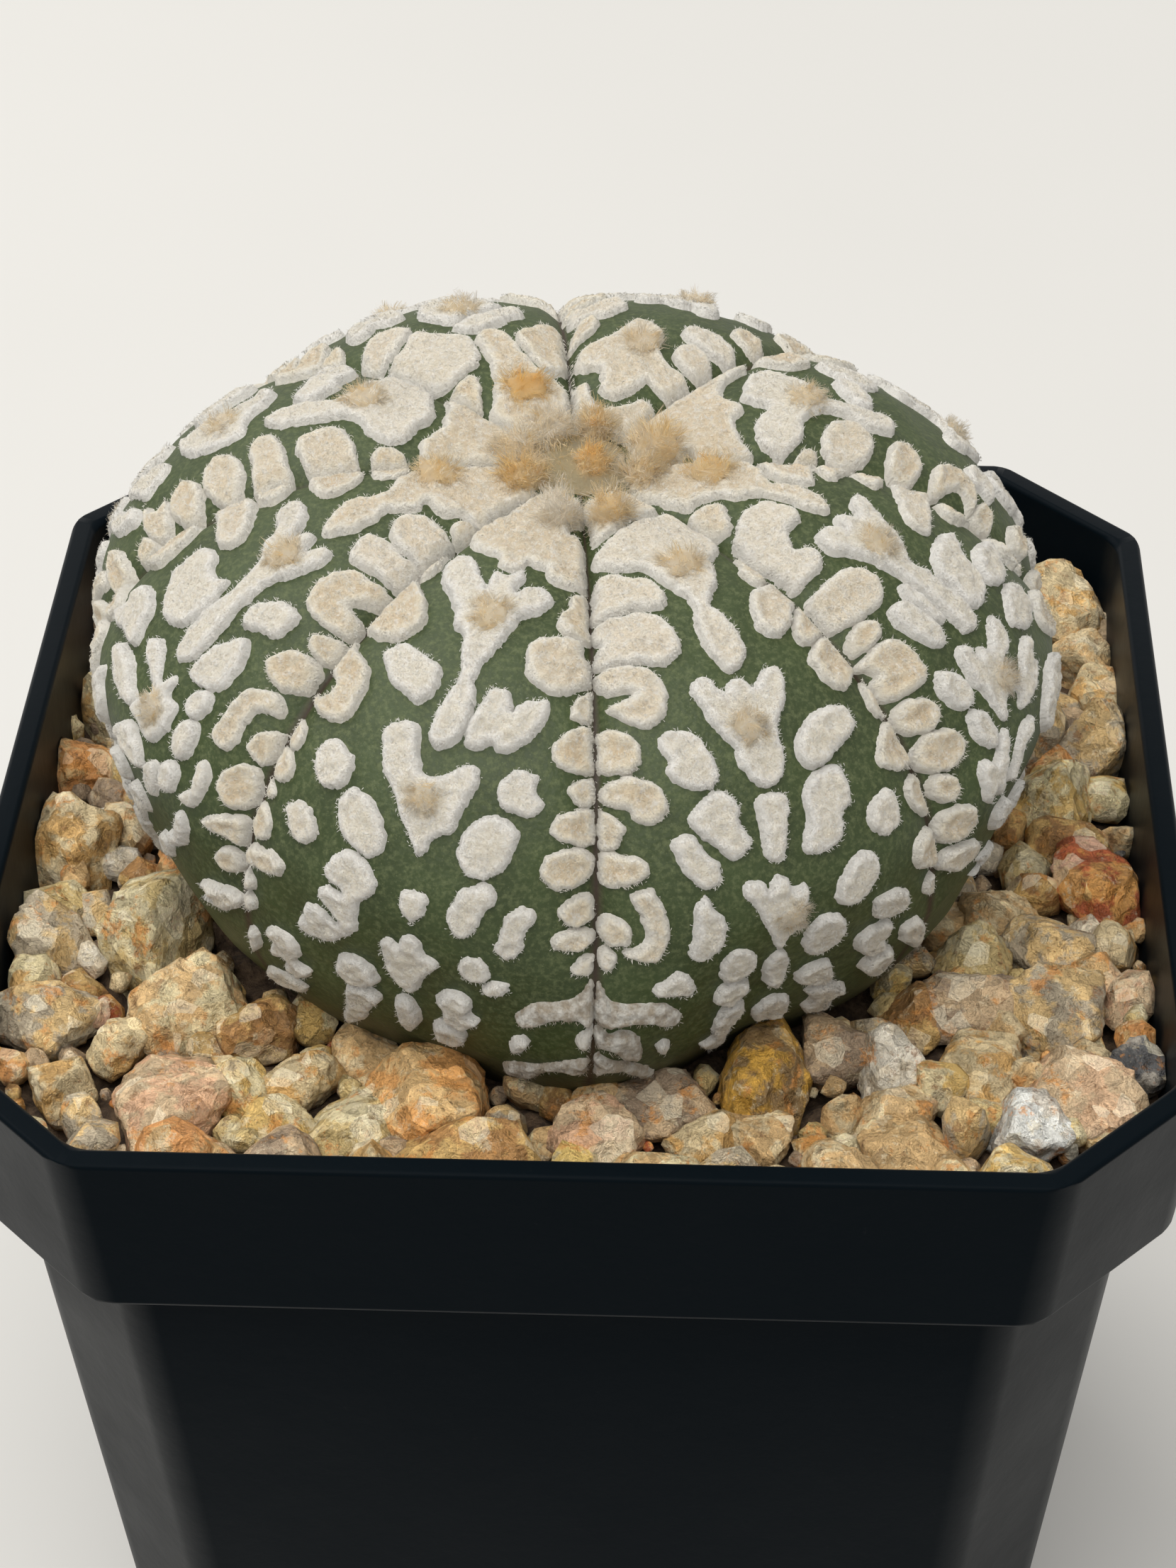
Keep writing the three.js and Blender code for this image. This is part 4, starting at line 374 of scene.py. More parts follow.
# Wool in the crown: rib, place along it and across it, radius, height, how golden it is, how much
# it is combed upright and how curly it is.
CROWN_TUFTS = [
    (0, 6.9, -0.9, 2.0, 3.1, 0.42, 0.55, 0.6), (1, 4.6, 0.2, 1.7, 1.9, 0.4, 0.3, 0.8),
    (2, 5.6, -0.8, 2.6, 3.2, 0.5, 0.25, 0.4), (3, 4.2, 0.2, 1.5, 2.3, 0.55, 0.4, 0.8),
    (4, 4.4, 0.2, 2.3, 2.0, 0.12, 0.2, 1.5), (5, 4.6, 0.2, 2.2, 2.0, 0.3, 0.2, 1.3),
    (6, 4.6, 0.1, 2.2, 2.4, 0.66, 0.25, 0.9), (7, 7.2, 0.9, 2.0, 3.3, 0.0, 0.6, 0.4),
]

# Pot rings as half-width across the flats, leg of the corner cut and height, from the foot up,
# over the rim and down to the inside of the floor.
POT_RINGS = [
    (34.3, 7.7, 0.0), (40.7, 9.1, 69.35), (43.8, 10.7, 69.35), (45.0, 10.8, 84.0),
    (43.1, 9.7, 84.0), (42.0, 9.6, 72.4), (39.3, 8.3, 70.9), (33.0, 7.0, 2.0),
]
POT_HALF = 45.0
DRAIN_RADIUS = 4.0
DRAIN_OFFSET = 19.0

# Stone colours as seen in daylight: the stone, then what stains it.
STONE_TONES = {
    "cream": ((0.98, 0.78, 0.45), (0.9, 0.55, 0.2)),
    "tan": ((0.9, 0.6, 0.28), (0.98, 0.78, 0.46)),
    "brown": ((0.55, 0.29, 0.1), (0.85, 0.55, 0.2)),
    "orange": ((1.0, 0.46, 0.15), (0.95, 0.62, 0.28)),
    "red": ((0.6, 0.15, 0.05), (0.9, 0.45, 0.13)),
    "pink": ((0.98, 0.6, 0.36), (0.9, 0.66, 0.4)),
    "grey": ((0.64, 0.53, 0.37), (0.95, 0.66, 0.3)),
    "umber": ((0.45, 0.33, 0.22), (0.75, 0.54, 0.32)),
    "yellow": ((0.98, 0.66, 0.22), (0.98, 0.82, 0.48)),
    "mustard": ((0.85, 0.48, 0.08), (0.4, 0.25, 0.1)),
    "olive": ((0.9, 0.68, 0.3), (0.95, 0.82, 0.5)),
    "quartz": ((0.92, 0.8, 0.6), (0.98, 0.9, 0.74)),
    "white": ((1.0, 0.95, 0.87), (0.95, 0.87, 0.74)),
    "slate": ((0.12, 0.12, 0.12), (0.42, 0.38, 0.32)),
}
COMMON_TONES = ["cream", "tan", "grey", "yellow", "orange", "olive", "umber", "brown", "quartz",
                "yellow"]
CHIP_TONES = ["brown", "umber", "slate", "brown", "mustard", "red", "umber", "tan"]
# Stones that the front shows: place, half of the width and of the height, and colour.
SEEN_STONES = [
    (-43.2, 13.6, 1.3, 1.7, "olive"), (-41.5, 7.4, 2.8, 2.6, "orange"),
    (-40, -2.5, 3.9, 3.6, "cream"), (-35.8, -0.6, 2.2, 2.5, "tan"),
    (-34.3, -5.6, 1.6, 1.1, "brown"), (-39.7, -14.7, 3.7, 3.7, "grey"),
    (-32.2, -14.7, 4.5, 4.5, "olive"), (-38.8, -23.8, 3.6, 3.1, "grey"),
    (-34.5, -22.7, 1.6, 1.6, "red"), (-28.4, -23.2, 3.9, 3.9, "tan"),
    (-23, -24.8, 2.8, 2.8, "brown"), (-19.5, -23.6, 1.9, 2.1, "yellow"),
    (-32.6, -26.6, 2.3, 2.3, "cream"), (-40.3, -29, 1.5, 1.3, "orange"),
    (-36.3, -31, 2.5, 2, "cream"), (-28.3, -33.7, 4.3, 3, "pink"), (-34.3, -35.1, 1.8, 1.8, "grey"),
    (-23.4, -32.2, 2.3, 2.3, "yellow"), (-19.5, -30.4, 2.8, 1.9, "cream"),
    (-15.1, -26.2, 2.8, 1.8, "tan"), (-20.3, -35.4, 2.5, 1.8, "yellow"),
    (-14.5, -34.9, 3.5, 2, "olive"), (-9.6, -32.9, 4.3, 3.8, "orange"),
    (-4.5, -34.5, 1.5, 2, "grey"), (-14, -30, 1.5, 1.3, "tan"), (-1.2, -35.7, 1.5, 1.2, "tan"),
    (1.8, -35.5, 3.2, 2.2, "pink"), (6.7, -31.8, 3.5, 2, "umber"), (9.8, -35.4, 2.5, 1.7, "cream"),
    (13.5, -34.5, 2.5, 1.5, "tan"), (14, -29, 4.1, 4.2, "mustard"),
    (18.9, -26.1, 2.8, 2.8, "umber"), (17.5, -36.1, 1.5, 1.1, "cream"),
    (19.3, -33.3, 1.5, 2.3, "tan"), (23.1, -28.3, 2.8, 2.8, "quartz"),
    (23.3, -32.7, 2.8, 1.8, "tan"), (23.2, -36.2, 3.2, 2, "tan"), (28, -34.5, 1.9, 3.2, "grey"),
    (29.3, -27, 3.3, 1.9, "cream"), (32.5, -34.1, 2.7, 2.5, "white"),
    (36.7, -29.9, 3.8, 3.3, "pink"), (34.7, -20.7, 3.9, 3, "grey"), (28, -20, 3.9, 2.6, "umber"),
    (24.9, -21.7, 2.3, 2.3, "brown"), (29.5, -14.9, 2.9, 2.6, "olive"), (32.2, -9.4, 3, 2.2, "tan"),
    (35.2, -13, 2.9, 2.7, "grey"), (40, -12.7, 2.1, 2.4, "cream"), (40.6, -18.5, 2.1, 2.1, "pink"),
    (40.8, -23.3, 1.8, 1.5, "orange"), (40.5, -26.7, 2.3, 2, "slate"),
    (39.3, -7.6, 1.6, 2.7, "cream"), (39.2, -5.2, 3.5, 3.5, "red"), (36.2, 4.9, 3.6, 3.6, "yellow"),
    (32.7, 1.5, 1.9, 2.2, "brown"), (40.7, 12.9, 2.9, 3.4, "grey"), (41, 20.7, 2.6, 1.8, "cream"),
    (40.4, 26.4, 2.4, 3.3, "tan"), (35.6, 28.2, 1.8, 2.1, "orange"), (41.2, 30.2, 2.1, 1.8, "pink"),
    (37.4, 33, 4.3, 5.2, "cream"), (41.6, 1.5, 1.4, 1.7, "tan"),
]
# Drawn stones and the smaller ones in their gaps: half sizes, tries for each, how near they lie to
# each other and to the middle of the stem, and how much a stone swells and sits in the bed.
STONE_RADII = [4.5, 4, 3.6, 3.2, 2.8, 2.4]
FILLER_RADII = [2.1, 1.7, 1.4, 1.1, 0.9]
LEAST_STONE = 2.2
STONE_TRIES = 420
STONE_SPACING = 0.8
FILLER_SPACING = 0.72
NEAREST_STONE = 33.5
NEAREST_FILLER = 30.5
STONE_SWELL = 1.09
STONE_SEAT = 0.25
# Room inside the pot: how far the stones' middles and points may lie to each side, how much of
# its half size a stone keeps off the wall, and how far the cut corners let stones and the dark
# sheet of painted gap shade reach, as across plus along. Then that sheet's width, cells and depth
# under the stones.
MIDDLE_LIMIT = 43.1
MIDDLE_CORNER = 9.7
STONE_INSET = 0.8
POINT_LIMIT = 42.6
POINT_CORNER = 75.0
GAP_SHADE_CORNER = 75.5
GAP_SHADE_WIDTH = 0.085
GAP_SHADE_CELLS = 90
GAP_SHADE_UNDER = 1.7
# Grit: how many chips, their least and largest half size, and where they lie.
CHIPS = 420
CHIP_RADII = (0.4, 0.95)
CHIP_LIMIT = 42
CHIP_CORNER = 74
NEAREST_CHIP = 30

EDGE_HAIRS = (9, 2)
TOP_HAIRS = (12, 1)

# Wool: how much of a tuft its solid core fills, how many hairs hang together, and how many hairs
# grow on each tuft and how long they are.
WOOL_CORE = 0.6
HAIRS_IN_LOCK = 8
AREOLE_HAIRS = 620
AREOLE_HAIR = 0.85
CROWN_HAIRS = 1250
CROWN_HAIR = 1.5
# How high the points of a hair stand, from its root to its tip.
HAIR_HEIGHTS = [0.35, 0.35, 0.55, 0.55, 0.8, 0.8, 1.0]
# Where the round tuft stands over the middle of the crown.
CROWN_GLOBE = (0.9, -0.6, 1.0)
# Areoles this near to the crown are the young golden ones, most of all on the rear rib.
YOUNG_AREOLE = 12
GOLDEN_RIB = 4

# Colours inside the finishes that a user wouldn't change.
SKIN_FOOT = (0.11, 0.08, 0.045)
# Painted shade: the skin darkened in the crease of each groove, where shade falls.
PAINTED_CREASE_SHADE = (0.035, 0.02, 0.012)
CORK_PALE = (0.74, 0.71, 0.64)
CORK_DARK = (0.42, 0.35, 0.26)
STONE_VEIN = (0.98, 0.86, 0.6)
STONE_RUST = (0.82, 0.36, 0.09)
STONE_CRACK = (0.3, 0.14, 0.05)
# Painted shade in the pits of the stones' gritty face.
STONE_PIT_SHADE = (0.2, 0.11, 0.05)
# Painted glint on the brightest crystals.
STONE_PAINTED_GLINT = (1.0, 0.92, 0.7)
# Soil colours; laid under the stones they are painted shade in the gaps between them.
SOIL_AND_GAP_SHADE_DARK = (0.05, 0.03, 0.018)
SOIL_AND_GAP_SHADE_PALE = (0.2, 0.13, 0.075)
# How much light wool lets through, how open it is, and how flat the scuffs of the pot lie.
WOOL_LETS_THROUGH = 0.66
WOOL_GAPS = 0.28
SCUFF_STRETCH = (1.0, 1.0, 9.0)

# Light and camera, in metres and degrees. Lights are aimed at the plant.
AIM = (0, 0, 0.09)
KEY_PLACE = (-0.55, 0.35, 1.0)
KEY_WIDTH = 0.9
KEY_TONE = (1.0, 0.985, 0.955)
FILL_PLACE = (-0.1, -0.5, 1.15)
FILL_WIDTH = 0.8
FILL_TONE = (1.0, 0.98, 0.95)
SKY_TONE = (1.0, 0.985, 0.96)
FLOOR_WIDTH = 5.0
SENSOR_WIDTH = 36.0
LENS = 85.25
CAMERA_PLACE = (0.010836, -0.227059, 0.258373)
CAMERA_TURNS = (("Z", 1.89), ("X", 52.34), ("Y", 0.65))


# Draws and patterns shared by all pieces.

def seeded_draws(seed):
    """Draws from 0 to 1 that are the same each time."""
    state = seed
    while True:
        state = (state * 1664525 + 1013904223) % 4294967296
        yield state / 4294967296


def scatter(ix, iy, iz, seed):
    """A fixed value from 0 to 1 for each cell of a lattice."""
    mixed = (ix * 73856093) ^ (iy * 19349663) ^ (iz * 83492791) ^ (seed * 2654435761)
    mixed &= 0xFFFFFFFF
    mixed = ((mixed ^ (mixed >> 13)) * 1274126177) & 0xFFFFFFFF
    return (mixed ^ (mixed >> 16)) / 4294967295.0


def soft_noise(points, scale, seed=0):
    """Smooth noise from -1 to 1 at points in millimetres, with the given cells per millimetre."""
    spot = points * scale
    cell = np.floor(spot).astype(np.int64)
    part = spot - cell
    part = part * part * (3 - 2 * part)
    total = np.zeros(len(points))
    for corner in itertools.product((0, 1), repeat=3):
        x, y, z = np.abs(1 - np.array(corner) - part).T
        total += x * y * z * scatter(*(cell + corner).T, seed)
    return total * 2 - 1


def unit(vectors):
    """The same vectors, one long."""
    return vectors / np.maximum(np.linalg.norm(vectors, axis=-1, keepdims=True), 1e-9)


def soft_step(values, start, end):
    """Rises smoothly from 0 at the start to 1 at the end."""
    share = np.clip((values - start) / (end - start), 0, 1)
    return share * share * (3 - 2 * share)


def turn_matrix(*turns):
    """Turns about axes, given as (axis, degrees), as one matrix. The last is done first."""
    total = Matrix.Identity(3)
    for axis, degrees in turns:
        total = total @ Matrix.Rotation(math.radians(degrees), 3, axis)
    return np.array(total)


# Form of the stem.

class StemForm:
    """The stem's outline and ribs in millimetres about its own centre, as its solid has them."""

    def __init__(self, size):
        self.radius = size.radius / MM
        self.rise = size.rise / MM
        self.drop = size.drop / MM
        self.crown_sink = size.crown_sink / MM
        self.groove_depth = size.groove_depth / MM
        self.lean = turn_matrix(("X", STEM_LEAN[0]), ("Y", STEM_LEAN[1])).T
        self.polar_marks = np.linspace(0, math.radians(NECK_POLAR), OUTLINE_STEPS + 1)
        radius, height = self.profile(self.polar_marks)
        steps = np.hypot(np.diff(radius), np.diff(height))
        self.along_marks = np.concatenate([[0], np.cumsum(steps)])

    def profile(self, polar):
        """Radius and height at angles from the crown."""
        side, up = np.sin(polar), np.cos(polar)
        power = np.where(up > 0, UPPER_POWER, LOWER_POWER)
        radius = self.radius * np.abs(side) ** power
        reach = np.where(up > 0, self.rise, self.drop)
        sink = self.crown_sink * np.exp(-((radius / CROWN_SPREAD) ** 2))
        return radius, reach * np.sign(up) * np.abs(up) ** power - sink

    def polar_at(self, along):
        """The angle from the crown at a length along the ribs."""
        return np.interp(along, self.along_marks, self.polar_marks)

    def rib_width(self, rib):
        """Width of a rib in radians round the stem."""
        following = GROOVES[(rib + 1) % len(GROOVES)]
        return math.radians((following - GROOVES[rib] + 360) % 360)

    def half_width(self, rib, along):
        """Half of a rib's width in millimetres."""
        radius, _ = self.profile(self.polar_at(along))
        return radius * self.rib_width(rib) / 2

    def surface(self, rib, share, polar, lift):
        """Points on a rib, by the share of its half-width and the angle from the crown."""
        radius, height = self.profile(polar)
        ahead, below = self.profile(polar + 0.001)
        slope = unit(np.stack([height - below, ahead - radius], axis=-1))
        crease = np.maximum(0, (np.abs(share) - CREASE_START) / (1 - CREASE_START))
        depth = (BOWL_SHARE * np.abs(share) ** BOWL_POWER
                 + (1 - BOWL_SHARE) * crease ** CREASE_POWER)
        foot = soft_step(np.degrees(polar), FOOT_START, FOOT_END)
        fade = np.minimum(1, radius / GROOVE_FADE_RADIUS) * (1 - foot)
        next_rib = (rib + 1) % len(GROOVES)
        groove = np.where(share < 0, FOOT_GROOVES[rib], FOOT_GROOVES[next_rib])
        toward_groove = soft_step(np.abs(share), 0, 1)
        draw_in = foot * (FOOT_CRESTS[rib] * (1 - toward_groove) + groove * toward_groove)
        offset = lift - self.groove_depth * depth * fade - draw_in
        radius = radius + slope[..., 0] * offset
        height = height + slope[..., 1] * offset
        turn = math.radians(GROOVES[rib]) + self.rib_width(rib) * (share + 1) / 2
        return np.stack([radius * np.cos(turn), radius * np.sin(turn), height], axis=-1)

    def on_rib(self, rib, spots, lift):
        """Points on a rib, from (across, along) spots in millimetres."""
        along = spots[:, 1]
        share = spots[:, 0] / np.maximum(self.half_width(rib, along), 0.5)
        return self.surface(rib, np.clip(share, -1.05, 1.05), self.polar_at(along), lift)

    def foot_of(self, rib, along, across):
        """A point on the skin and the way out of it there."""
        spot = np.array([[across, along]], dtype=float)
        skin = self.on_rib(rib, spot, 0.0)[0]
        return skin, unit(self.on_rib(rib, spot, 1.0)[0] - skin)

    def placed(self, points):
        """The same points in metres, where the plant leans in its pot."""
        return (points @ self.lean + np.array(STEM_PLACE)) * MM

    def turned(self, directions):
        """Directions turned with the plant's lean."""
        return directions @ self.lean


def distance_to_outline(spots, outline):
    """Distance from each spot to a closed outline, positive inside it."""
    start, end = outline, np.roll(outline, -1, axis=0)
    side = end - start
    away = spots[:, None, :] - start[None]
    share = np.clip((away * side).sum(-1) / np.maximum((side ** 2).sum(-1), 1e-12), 0, 1)
    nearest = np.linalg.norm(away - share[..., None] * side, axis=-1).min(1)
    level = spots[:, 1][:, None]
    crossing = (start[:, 1] > level) != (end[:, 1] > level)
    fall = np.where(np.abs(side[:, 1]) < 1e-9, 1e-9, side[:, 1])
    reach = start[:, 0] + (level - start[:, 1]) / fall * side[:, 0]
    inside = (crossing & (spots[:, 0][:, None] < reach)).sum(1) % 2 == 1
    return np.where(inside, nearest, -nearest)


def smooth_outline(outline, steps):
    """A closed curve through all points of an outline."""
    before, here = np.roll(outline, 1, axis=0), outline
    after, beyond = np.roll(outline, -1, axis=0), np.roll(outline, -2, axis=0)
    t = (np.arange(steps) / steps)[:, None, None]
    curve = 0.5 * (2 * here + (after - before) * t
                   + (2 * before - 5 * here + 4 * after - beyond) * t ** 2
                   + (3 * here - before - 3 * after + beyond) * t ** 3)
    return curve.transpose(1, 0, 2).reshape(-1, 2)


def patch_outline(patch):
    """The outline of a patch, from its row of numbers."""
    return np.array(patch, dtype=float).reshape(-1, 2) / 10


def fleck_outline(fleck, mirrored):
    """The outline of a simple fleck."""
    along, across, length, width, *rest = fleck
    turn, shape = rest + [0, OVAL][len(rest):]
    angle = math.radians(turn)
    side = -1 if mirrored else 1
    x, y = np.array(shape, dtype=float).T
    return np.stack([
        side * (across + x * width * math.cos(angle) - y * length * math.sin(angle)),
        along + x * width * math.sin(angle) + y * length * math.cos(angle),
    ], axis=-1)


def middle_of(outline):
    """Middle of an outline's box, and its half sizes."""
    low, high = outline.min(0), outline.max(0)
    return (low + high) / 2, (high - low) / 2


def reach_groove(form, rib, outline):
    """Draws the outer side of a fleck in the row along a groove out to that groove."""
    half = form.half_width(rib, outline[:, 1])
    share = outline[:, 0] / half
    outer = np.abs(share).max()
    if not GROOVE_ROW < outer < FLECK_EDGE or np.abs(share).min() < 0.4:
        return outline
    middle, _ = middle_of(outline)
    along = middle[1] + (outline[:, 1] - middle[1]) * GROOVE_ROW_GROWTH
    push = (FLECK_EDGE - outer) * np.clip((np.abs(share) - 0.5) / (outer - 0.5), 0, 1)
    return np.stack([(share + np.sign(share) * push) * half, along], axis=-1)


def list_felt(form, rib, draws):
    """Outlines and tufts of a rib, with what is lent to the side that the front hides."""
    own = RIBS[rib]
    outlines = [patch_outline(patch) for patch in own["patches"]]
    outlines += [reach_groove(form, rib, fleck_outline(fleck, False)) for fleck in own["flecks"]]
    tufts = list(own["tufts"])
    if rib not in LENDERS:
        return outlines, tufts
    lender, mirrored = LENDERS[rib]
    side = -1 if mirrored else 1
    widen = form.rib_width(rib) / form.rib_width(lender)
    lent = [patch_outline(patch) * (side, 1) for patch in RIBS[lender]["patches"]]
    lent += [fleck_outline(fleck, mirrored) for fleck in RIBS[lender]["flecks"]]
    for outline in lent:
        shift = np.array([next(draws) - 0.5, next(draws) - 0.5])
        moved = outline * (widen, 1) + shift
        middle, _ = middle_of(moved)
        if middle[1] > own["seen"][0 if middle[0] < 0 else 1]:
            outlines.append(moved)
    for along, across in RIBS[lender]["tufts"]:
        if all(abs(other - along) > TUFT_SPACING for other, _ in tufts):
            tufts.append((along, side * across))
    return outlines, tufts


def trim_outline(form, rib, outline):
    """Keeps an outline inside the felted part of its rib."""
    along = np.clip(outline[:, 1], FELT_START, FELT_END)
    limit = FLECK_EDGE * form.half_width(rib, along)
    trimmed = np.stack([np.clip(outline[:, 0], -limit, limit), along], axis=-1)
    kept = []
    for spot in trimmed:
        if all(np.hypot(*(spot - other)) > SMALLEST_SIDE for other in kept):
            kept.append(spot)
    return np.array(kept)


def outlines_clear(one, other):
    """Whether two outlines keep off each other."""
    middle, half = middle_of(one)
    other_middle, other_half = middle_of(other)
    if np.any(np.abs(middle - other_middle) > half + other_half + FLECK_GAP):
        return True
    dense, other_dense = smooth_outline(one, 4), smooth_outline(other, 4)
    return (distance_to_outline(dense, other).max() < -FLECK_GAP
            and distance_to_outline(other_dense, one).max() < -FLECK_GAP)


def place_flecks(form, rib, outlines):
    """The flecks that a rib has room for, each shrunk a little if it would touch one there."""
    placed = []
    for outline in outlines:
        middle, _ = middle_of(outline)
        for size in SHRINK_STEPS:
            fleck = trim_outline(form, rib, middle + (outline - middle) * size)
            _, half = middle_of(fleck)
            large = len(fleck) > 3 and 4 * half[0] * half[1] > SMALLEST_FLECK
            if large and all(outlines_clear(fleck, other) for other in placed):
                placed.append(fleck)
                break
    return placed


def felt_layout(form):
    """All flecks and tufts of the stem, as (rib, outline) and (rib, along, across)."""
    draws = seeded_draws(NUDGE_SEED)
    flecks, tufts = [], []
    for rib in range(len(RIBS)):
        outlines, spots = list_felt(form, rib, draws)
        flecks += [(rib, outline) for outline in place_flecks(form, rib, outlines)]
        tufts += [(rib, along, across) for along, across in spots]
    return flecks, tufts


# Mesh helpers.

def clear_selection():
    """Nothing selected, so that an operator acts on the new piece alone."""
    if bpy.context.object and bpy.context.object.mode != "OBJECT":
        bpy.ops.object.mode_set(mode="OBJECT")
    bpy.ops.object.select_all(action="DESELECT")


def mesh_piece(name, points, faces):
    """A new smooth object from points in metres and faces with the same number of corners each."""
    mesh = bpy.data.meshes.new(name)
    corners = faces.shape[1]
    mesh.vertices.add(len(points))
    mesh.vertices.foreach_set("co", np.ascontiguousarray(points, dtype=np.float32).ravel())
    mesh.loops.add(faces.size)
    mesh.loops.foreach_set("vertex_index", np.ascontiguousarray(faces, dtype=np.int32).ravel())
    mesh.polygons.add(len(faces))
    mesh.polygons.foreach_set("loop_start", np.arange(0, faces.size, corners, dtype=np.int32))
    mesh.update(calc_edges=True)
    mesh.shade_smooth()
    piece = bpy.data.objects.new(name, mesh)
    bpy.context.collection.objects.link(piece)
    return piece


def paint_points(piece, name, colours):
    """Stores a colour for each point, for the material to read."""
    layer = piece.data.attributes.new(name, "FLOAT_COLOR", "POINT")
    full = np.ones((len(colours), 4), dtype=np.float32)
    full[:, :colours.shape[1]] = colours
    layer.data.foreach_set("color", full.ravel())


def finish_piece(piece, material):
    """Gives a piece its finish and makes it ride on the object's one body."""
    piece.data.materials.clear()
    piece.data.materials.append(material)
    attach(piece, "root")


def points_of(piece):
    """A piece's points."""
    return np.array([vertex.co[:] for vertex in piece.data.vertices])


def move_points(piece, points):
    """Moves a piece's points to places in metres, and shades it smooth."""
    piece.data.vertices.foreach_set("co", points.astype(np.float32).ravel())
    piece.data.update()
    piece.data.shade_smooth()


def remove_piece(piece):
    """Takes a helper object and its mesh away."""
    mesh = piece.data
    bpy.data.objects.remove(piece)
    bpy.data.meshes.remove(mesh)


def joined(parts):
    """Points, faces and what else each part has, in one."""
    columns = [list(column) for column in zip(*parts)]
    starts = np.cumsum([0] + [len(points) for points in columns[0][:-1]])
    columns[1] = [faces + start for faces, start in zip(columns[1], starts)]
    return [np.concatenate(column) for column in columns]


def ball_template(subdivisions):
    """Points and faces of a ball one in radius, made from Blender's own."""
    clear_selection()
    bpy.ops.mesh.primitive_ico_sphere_add(subdivisions=subdivisions, radius=1.0)
    ball = bpy.context.object
    points = points_of(ball)
    faces = np.array([face.vertices[:] for face in ball.data.polygons])
    remove_piece(ball)
    return unit(points), faces


def strand_faces(rows, across, width, outward):
    """Points and faces of bent strands, from rows of points from root to tip, facing outwards."""
    facing = (np.cross(across, rows[-1] - rows[0]) * outward).sum(-1)
    half = across * np.where(facing < 0, -width / 2, width / 2)[:, None]
    points = []
    for step, row in enumerate(rows[:-1]):
        narrow = 1 - 0.5 * step / (len(rows) - 1)
        points += [row - half * narrow, row + half * narrow]
    points = np.stack(points + [rows[-1]], axis=1)
    count = points.shape[1]
    first = np.arange(len(points))[:, None] * count
    faces = [first + 2 * step + np.array(corners)
             for step in range(len(rows) - 2) for corners in ((0, 1, 3), (0, 3, 2))]
    faces.append(first + [count - 3, count - 2, count - 1])
    return points.reshape(-1, 3), np.concatenate(faces)


def use_soft_normals(piece, normals):
    """Lights fine strands as the surface that they grow from."""
    piece.data.normals_split_custom_set_from_vertices(normals.tolist())


# Material helpers.

class Finish:
    """A material being wired up, with short calls for the nodes used here."""

    def __init__(self, name):
        self.material = bpy.data.materials.new(name)
        self.material.use_nodes = True
        self.nodes = self.material.node_tree.nodes
        self.surface = self.nodes["Principled BSDF"]
        self.place = self.nodes.new("ShaderNodeTexCoord").outputs["Object"]

    def join(self, source, target):
        """Links a socket or sets a value."""
        if isinstance(source, bpy.types.NodeSocket):
            self.material.node_tree.links.new(source, target)
        else:
            target.default_value = source

    def set(self, node=None, **values):
        """Sets inputs of a node, or else of the surface, by names with _ for spaces."""
        node = node or self.surface
        for name, value in values.items():
            self.join(value, node.inputs[name.replace("_", " ")])
        return node

    def node(self, kind, **values):
        """A new node with its inputs set."""
        return self.set(self.nodes.new("ShaderNode" + kind), **values)

    def noise(self, scale, detail=4.0, roughness=0.55, vector=None):
        """Noise in object coordinates, as a value."""
        node = self.node("TexNoise", Scale=scale, Detail=detail, Roughness=roughness,
                         Vector=vector or self.place)
        return node.outputs["Fac"]

    def cells(self, scale):
        """Distance to the middles of a cell pattern."""
        return self.node("TexVoronoi", Scale=scale, Vector=self.place).outputs["Distance"]

    def crystals(self, scale):
        """A random value for each cell of a cell pattern."""
        node = self.node("TexVoronoi", Scale=scale, Vector=self.place)
        return self.split(node.outputs["Color"])[0]

    def split(self, colour):
        """The three values of a colour."""
        return self.node("SeparateColor", Color=colour).outputs[:3]

    def painted(self, name):
        """The colour that a piece's points carry under a name."""
        node = self.nodes.new("ShaderNodeAttribute")
        node.attribute_name = name
        return node.outputs["Color"]

    def between(self, value, low, high, new_low=0.0, new_high=1.0):
        """Maps a value from one span to another, clamped."""
        node = self.node("MapRange", Value=value, From_Min=low, From_Max=high, To_Min=new_low,
                         To_Max=new_high)
        return node.outputs["Result"]

    def product(self, first, second):
        """Two values multiplied."""
        node = self.nodes.new("ShaderNodeMath")
        node.operation = "MULTIPLY"
        self.join(first, node.inputs[0])
        self.join(second, node.inputs[1])
        return node.outputs["Value"]

    def mix(self, share, first, second, blend="MIX"):
        """A colour between two, by a share."""
        node = self.nodes.new("ShaderNodeMix")
        node.data_type = "RGBA"
        node.blend_type = blend
        self.join(share, node.inputs["Factor"])
        sockets = {socket.name: socket for socket in node.inputs if socket.type == "RGBA"}
        for name, source in (("A", first), ("B", second)):
            linked = isinstance(source, bpy.types.NodeSocket)
            self.join(source if linked else (*source, 1.0), sockets[name])
        return next(socket for socket in node.outputs if socket.type == "RGBA")

    def layers(self, base, *layers):
        """Lays colours over a base, each where a pattern runs from low to high, up to its share."""
        for pattern, low, high, share, colour in layers:
            base = self.mix(self.between(pattern, low, high, 0.0, share), base, colour)
        return base

    def relief(self, height, strength, distance, under=None):
        """A bump, over another one if given."""
        node = self.node("Bump", Height=height, Strength=strength, Distance=distance)
        if under is not None:
            self.join(under, node.inputs["Normal"])
        return node.outputs["Normal"]

    def blend(self, share, first, second):
        """Two shaders mixed by the share of the second."""
        node = self.nodes.new("ShaderNodeMixShader")
        for source, socket in zip((share, first, second), node.inputs):
            self.join(source, socket)
        return node.outputs["Shader"]


def shade(colour, share):
    """A colour made darker or lighter."""
    return tuple(value * share for value in colour)


